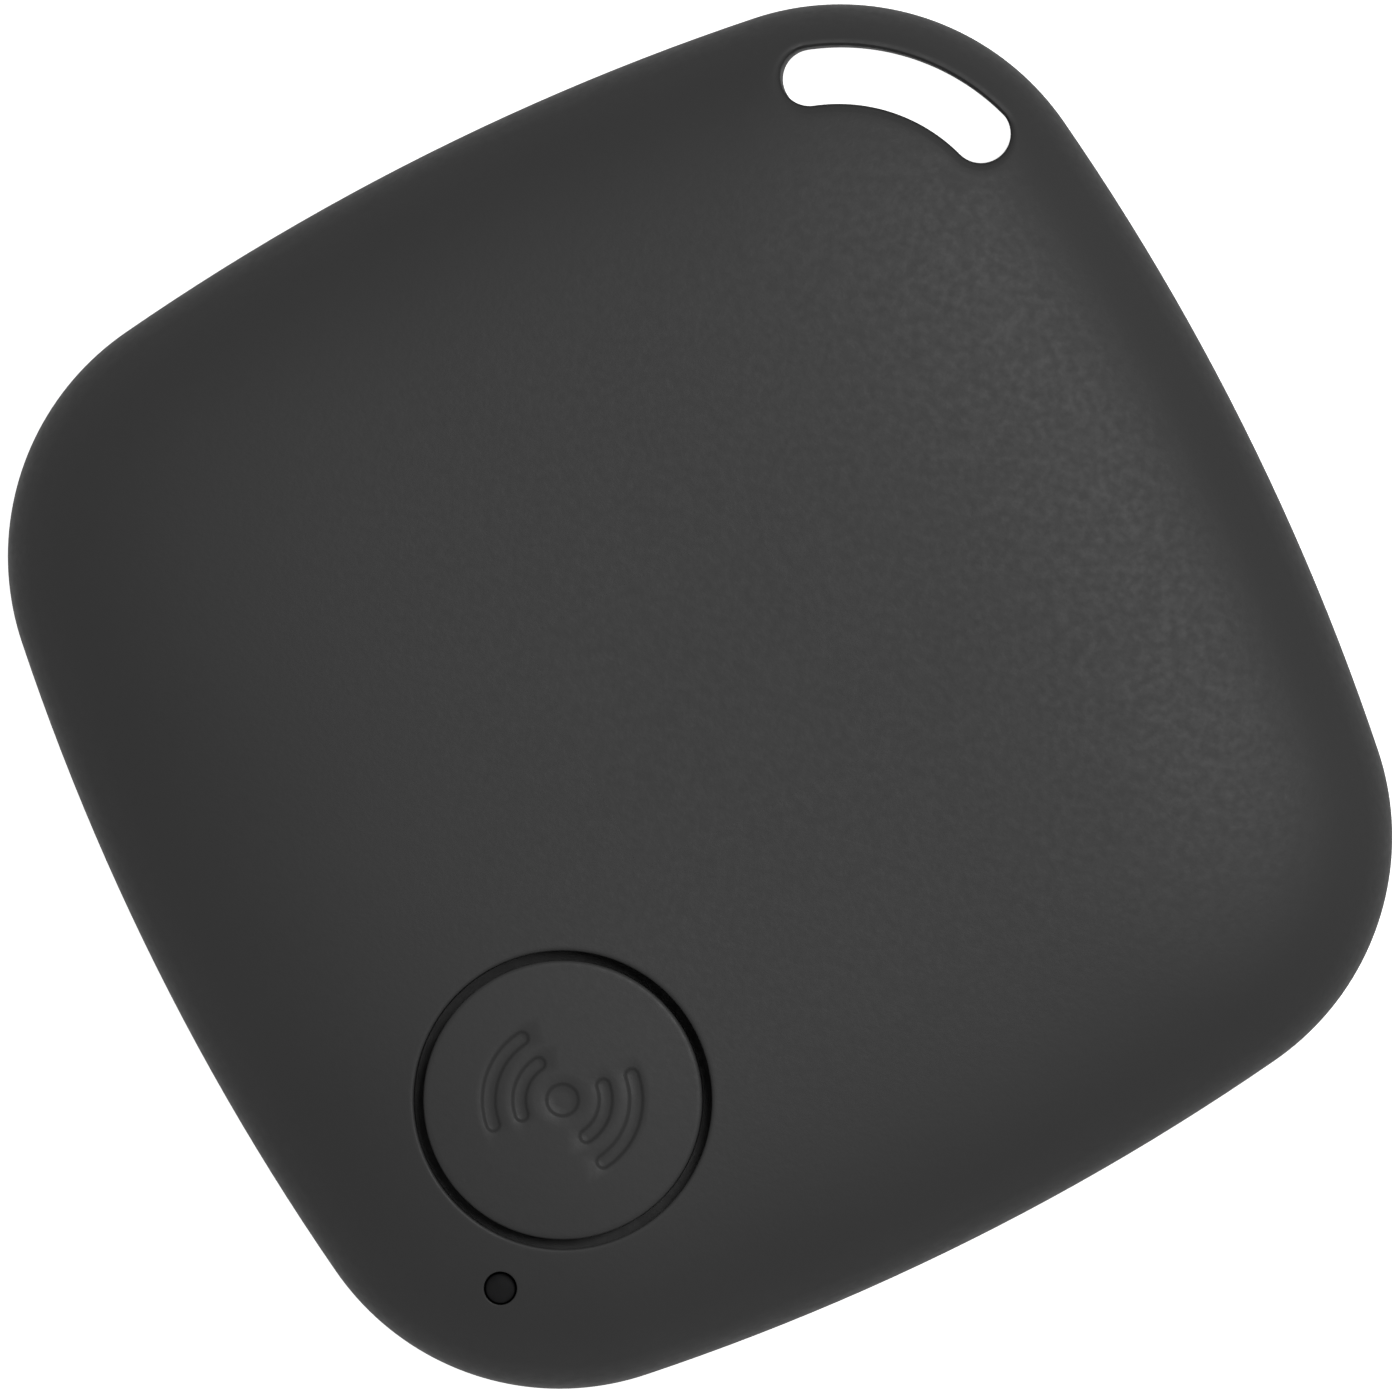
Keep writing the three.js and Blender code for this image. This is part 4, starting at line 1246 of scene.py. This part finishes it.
def coin_cell(finishes):
    """A can crimped over a seal and a smaller cap, with the three layers between them."""
    top = CELL_HEIGHT
    can = turned([(r, CELL_Z + z) for r, z in smoothed([
        (0, top - 0.25), (9.7, top - 0.25), (9.7, 0.4), (9.35, 0.2), (9.6, 0.08), (10, 0.3),
        (10, top), (0, top)], 0.35, 6)], 0, CELL_Y, 128)
    arm, half, depth = 2.2, 0.3, 0.05
    plus = [moved_by(0, CELL_Y, x, y, quarter * 90) for quarter in range(4)
            for x, y in ((arm, -half), (arm, half), (half, half))]
    mark_floor = CELL_Z + top - depth
    cut(can, prism(np.array(plus), mark_floor, CELL_Z + top + 1))
    piece(can, "battery_can_shell", "case", "cell", finishes["cell"], ["battery_can"])
    repaint(can, finishes["magnet"], lambda face: (
        face.normal.z > 0.9 and abs(face.center.z / MM - mark_floor) < depth / 4))
    round_part("battery_gasket", "battery_gasket_ring", "gasket", finishes["gasket"], [
        (9.0, 0.12), (9.3, 0.16), (9.65, 0.42), (9.65, 2.6), (9.1, 2.6), (9.1, 2.35), (9.0, 2.35)])
    round_part("battery_cap", "battery_cap_shell", "cell", finishes["cell"], [
        (0, 0), (8.6, 0), (8.95, 0.3), (8.95, 2.3), (8.7, 2.3), (8.7, 0.45), (8.5, 0.25), (0, 0.25)])
    for node, slot, radius, bottom, height in (
            ("battery_anode", "anode", 8.3, 0.28, 0.9),
            ("battery_separator", "separator", 8.5, 0.93, 1.05),
            ("battery_cathode", "cathode", 8.3, 1.08, 2.9)):
        profile = [(0, bottom), (radius, bottom), (radius, height), (0, height)]
        round_part(node, node + "_disc", slot, finishes[slot], profile, 0.05)


def cell_contacts(finishes):
    """Two blades that press on the can's side, and a leaf spring under its cap."""
    sheet = 0.15
    for node, turn in (("positive_contact_right", 0), ("positive_contact_left", 180)):
        path = [(2.4, 0.095), (0.5, 0.095), (0.125, 1.11), (0.485, 1.885)]
        blade = strip(path, sheet, 5, 0.25)
        cut(blade, box(1.4, 0.5, 3, 0.2, 0, 0.55), prism(circle(1.5, 0, 0.35, 24), -1, 1))
        side = math.cos(math.radians(turn))
        moved(blade, side * CELL_RADIUS, CELL_Y, BOARD_TOP, turn)
        piece(blade, node + "_blade", "case", "spring", finishes["spring"], [node])
    rest, touch = FLOOR + 0.07, CELL_Z - SKIN - 0.06
    path = [(-9.6, BOARD_Z - 0.08), (-7.2, BOARD_Z - 0.08), (-6.2, rest), (0.5, rest), (2.6, touch),
            (5.4, touch), (7.5, rest), (8.8, rest)]
    leaf = cut(strip(path, 0.12, 3.5, 0.5), box(0.5, 9, 3, 0, CELL_Y, 0))
    leaf.data.transform(Matrix.Rotation(math.pi / 2, 4, "Z"))
    piece(leaf, "negative_contact_leaf", "case", "spring", finishes["spring"], ["negative_contact"])


# ---- tact switch and buzzer ---------------------------------------------------------------------


def switch_piece(obj, name, node, slot, finish, body="case"):
    """Sets a part of the switch, made about the Z axis, on the board under the button."""
    moved(obj, 0, BUTTON_Y, BOARD_TOP)
    return piece(obj, name, body, slot, finish, [node] if node else [])


def tact_switch(finishes):
    """A moulded base with a steel frame and four rivets, two bent leads, a snap dome and a plunger."""
    side, base_height = 4.5, 1.05
    base = cut(soft_block(side, side, base_height - 0.2, 0.3, 0.05, foot=0.2), rod(1.9, 0.34, 2))
    switch_piece(base, "switch_base_moulding", "switch_base", "epoxy", finishes["housing"])
    plate = soft_block(side, side, 0.15, 0.25, 0.03, foot=base_height + 0.03)
    for turn in (90, 270):
        leg = strip([(1.5, 1.155), (2.34, 1.155), (2.34, 0.43)], 0.12, 2.2, 0.12)
        join(plate, moved(leg, 0, 0, 0, turn))
    cut(plate, rod(1.15, 0, 3))
    switch_piece(plate, "switch_frame_plate", "switch_frame", "cell", finishes["steel"])
    for node, facing in (("switch_lead_right", 1), ("switch_lead_left", -1)):
        lead = [box(0.15, 3.7, 0.15, facing * 2.355, 0, 0.02)]
        for y in (-1.5, 1.5):
            foot = strip([(facing * 2.33, 0.4), (facing * 2.33, 0.095), (facing * 3.15, 0.095)], 0.15, 0.7)
            lead.append(moved(foot, 0, y, 0))
        switch_piece(merge(lead), node + "_strip", node, "spring", finishes["tin"])
    rivets = [turned([(0, 1.2), (0.3, 1.2), (0.3, 1.27), (0.22, 1.32), (0, 1.34)], x, y, 24)
              for x in (-1.7, 1.7) for y in (-1.7, 1.7)]
    switch_piece(merge(rivets), "switch_rivets", None, "epoxy", finishes["housing"])
    stem = smoothed([(0, 0.76), (1.5, 0.76), (1.5, 1.02), (1.0, 1.02), (1.0, 1.8), (0, 1.8)], 0.12)
    switch_piece(turned(stem), "switch_stem", "switch_plunger", "plunger", finishes["nylon"], "plunger")
    snap_dome(finishes)


def snap_dome(finishes):
    """A shallow steel shell on its rim, which the plunger flattens."""
    sheet, radius, rise, base = 0.06, 1.75, 0.3, 0.36
    shares = np.linspace(0, 1, 12)
    crown = [(radius * share, base + rise * (1 - share**2)) for share in shares]
    over = [(r, z + sheet) for r, z in reversed(crown)]
    dome = switch_piece(turned([*crown, *over]), "switch_dome_shell", "switch_dome", "spring",
                        finishes["spring"])
    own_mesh(dome)


def buzzer(finishes):
    """A magnetic sounder under a moulded case with a port."""
    side, foot, height = 5, 0.33, 2.0
    x, y = middle_of("buzzer_case")
    case = soft_block(side, side, height - foot, 0.5, 0.12, foot=foot)
    cut(case, soft_block(side - 0.6, side - 0.6, height - foot - 0.3, 0.3, 0.02, foot=foot - 0.01))
    cut(case, turned([(0, 1), (0.5, 1), (0.5, height - 0.1), (0.62, height + 0.02), (0, height + 0.02)]))
    base = soft_block(side, side, 0.3, 0.4, 0.03)
    radius = 1.35
    winding = [(0.55, 0.35)]
    for turn in range(6):
        z = 0.35 + 0.1 * turn
        winding += [(radius - 0.04, z), (radius, z + 0.05)]
    winding += [(radius - 0.04, 0.95), (0.55, 0.95)]
    shapes = [
        ("buzzer_case", case, "epoxy", "housing"),
        ("buzzer_base", base, "board", "board"),
        ("buzzer_pole", turned(smoothed([(0, 0.32), (0.5, 0.32), (0.5, 1.05), (0, 1.05)], 0.08)),
         "spring", "steel"),
        ("buzzer_coil", turned(winding), "coil", "coil"),
        ("buzzer_magnet", turned(smoothed([(1.5, 0.33), (2.1, 0.33), (2.1, 1.15), (1.5, 1.15),
                                           (1.5, 0.4)], 0.08)), "magnet", "magnet"),
        ("buzzer_diaphragm", turned(smoothed([(0, 1.2), (2.15, 1.2), (2.15, 1.26), (1.0, 1.24),
                                              (0.8, 1.28), (0, 1.28)], 0.05)), "spring", "spring"),
    ]
    for node, shape, slot, finish in shapes:
        moved(shape, x, y, BOARD_TOP, 45)
        piece(shape, node + "_part", "case", slot, finishes[finish], [node])


# ---- foam pad -----------------------------------------------------------------------------------


def foam_pad(finish):
    """A disc of foam between the cell and the front shell: squeezed, its side bulges a little."""
    low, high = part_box("foam_pad")
    radius, bottom = (high[0] - low[0]) / 2 / MM, low[2] / MM
    rings = []
    for share in np.linspace(0, 1, 9):
        loop = circle(0, CELL_Y, radius - 0.16 * (2 * share - 1) ** 4 - 0.02, 128)
        top = front_height(loop) - CEILING - SKIN
        rings.append(at_height(loop, bottom + (top - bottom) * share))
    pad = piece(stack(rings), "foam_pad_disc", "cover", "foam", finish, ["foam_pad"])


# ---- camera, light and floor ------------------------------------------------------------------

# The camera's and the key light's numbers are in metres.
CAMERA_DISTANCE = 1.6
CAMERA_TILT = math.radians(1.2)  # away from straight above, towards +X
CAMERA_ROLL = math.radians(71.55)  # where +Y points in the picture, anticlockwise from its right
VIEW_HEIGHT = 0.04358  # how much the picture's height covers at the tag
PICTURE_SHAPE = 1400 / 1393
VIEW_CENTRE = (0.0, 0.0, 0.0024)

KEY_PLACE = (0.094, 0.1, 0.385)
KEY_SIZE = 0.19
KEY_POWER = 0.78

SKY_TOP = 0.18  # how bright the surroundings are as a light, overhead
SKY_EDGE = 0.62  # and at the horizon
BACKDROP = 1.0  # how bright the same white surroundings look behind the tag
FLOOR_RADIUS = 1500
FLOOR_GLOW = 0.94
BOUNCE = 0.6  # how bright the floor is as a light from below


def make_camera():
    data = bpy.data.cameras.new("camera")
    camera = linked("camera", data)
    data.sensor_fit = "HORIZONTAL"
    data.sensor_width = 36
    data.lens = data.sensor_width * CAMERA_DISTANCE / (VIEW_HEIGHT * PICTURE_SHAPE)
    data.clip_start = 0.01
    data.clip_end = 10
    back = Vector((math.sin(CAMERA_TILT), 0, math.cos(CAMERA_TILT)))
    along = Vector((0, 1, 0))
    side = along.cross(back)
    right = math.cos(CAMERA_ROLL) * along + math.sin(CAMERA_ROLL) * side
    up = back.cross(right)
    turn = Matrix((right, up, back)).transposed().to_4x4()
    camera.matrix_world = Matrix.Translation(Vector(VIEW_CENTRE) + back * CAMERA_DISTANCE) @ turn
    bpy.context.scene.camera = camera


def make_key_light():
    """A soft round light that faces the tag."""
    data = bpy.data.lights.new("key", "AREA")
    data.shape = "DISK"
    data.size = KEY_SIZE
    data.energy = KEY_POWER
    light = linked("key", data)
    light.location = KEY_PLACE
    light.rotation_euler = (-Vector(KEY_PLACE)).to_track_quat("-Z", "Y").to_euler()


def seen_or_lighting(tree, seen, lighting, output):
    """Uses one shader where something is looked at, and another for the light that it gives."""
    path = tree.nodes.new("ShaderNodeLightPath")
    mix = tree.nodes.new("ShaderNodeMixShader")
    tree.links.new(path.outputs["Is Camera Ray"], mix.inputs["Fac"])
    tree.links.new(lighting, mix.inputs[1])
    tree.links.new(seen, mix.inputs[2])
    tree.links.new(mix.outputs["Shader"], output)


def make_sky():
    """White surroundings, brighter at the horizon than overhead."""
    world = bpy.data.worlds.new("world")
    world.use_nodes = True
    tree = world.node_tree
    sky = tree.nodes["Background"]
    backdrop = tree.nodes.new("ShaderNodeBackground")
    for shader in (sky, backdrop):
        shader.inputs["Color"].default_value = (1, 1, 1, 1)
    backdrop.inputs["Strength"].default_value = BACKDROP
    direction = tree.nodes.new("ShaderNodeTexCoord")
    height = tree.nodes.new("ShaderNodeSeparateXYZ")
    fade = tree.nodes.new("ShaderNodeMapRange")
    fade.inputs["To Min"].default_value = SKY_EDGE
    fade.inputs["To Max"].default_value = SKY_TOP
    tree.links.new(direction.outputs["Generated"], height.inputs["Vector"])
    tree.links.new(height.outputs["Z"], fade.inputs["Value"])
    tree.links.new(fade.outputs["Result"], sky.inputs["Strength"])
    output = tree.nodes["World Output"].inputs["Surface"]
    seen_or_lighting(tree, backdrop.outputs[0], sky.outputs[0], output)
    bpy.context.scene.world = world


def make_floor():
    """A white light table that glows a little, so that the ground is plain and pale all over."""
    made = Finish("pale_floor", (0.9, 0.9, 0.9), 0.6, specular=0.2)
    made.shader.inputs["Emission Color"].default_value = (1, 1, 1, 1)
    made.shader.inputs["Emission Strength"].default_value = FLOOR_GLOW
    made.tint(made.noise(40), (0.88, 0.88, 0.88))
    made.bump(made.noise(0.6), 0.01)
    bounce = made.node("ShaderNodeEmission")
    bounce.inputs["Strength"].default_value = BOUNCE
    output = made.tree.nodes["Material Output"].inputs["Surface"]
    seen_or_lighting(made.tree, made.shader.outputs["BSDF"], bounce.outputs["Emission"], output)
    disc = Solid()
    disc.cap(at_height(circle(0, 0, FLOOR_RADIUS), -0.02))
    floor = disc.build("floor")
    floor.data.transform(Matrix.Scale(MM, 4))
    floor.data.materials.append(made.material)


# ---- everything -------------------------------------------------------------------------------


def main():
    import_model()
    bpy.context.scene.view_settings.view_transform = "Standard"
    make_camera()
    make_sky()
    make_key_light()
    make_floor()
    finishes = make_finishes()
    front_shell(finishes["shell"])
    rear_shell(finishes["shell"])
    button_cap(finishes["button"])
    light_pipe(finishes["light_pipe"])
    foam_pad(finishes["foam"])
    circuit_board(finishes)
    board_face(finishes)
    small_parts(finishes)
    coin_cell(finishes)
    cell_contacts(finishes)
    tact_switch(finishes)
    buzzer(finishes)


main()
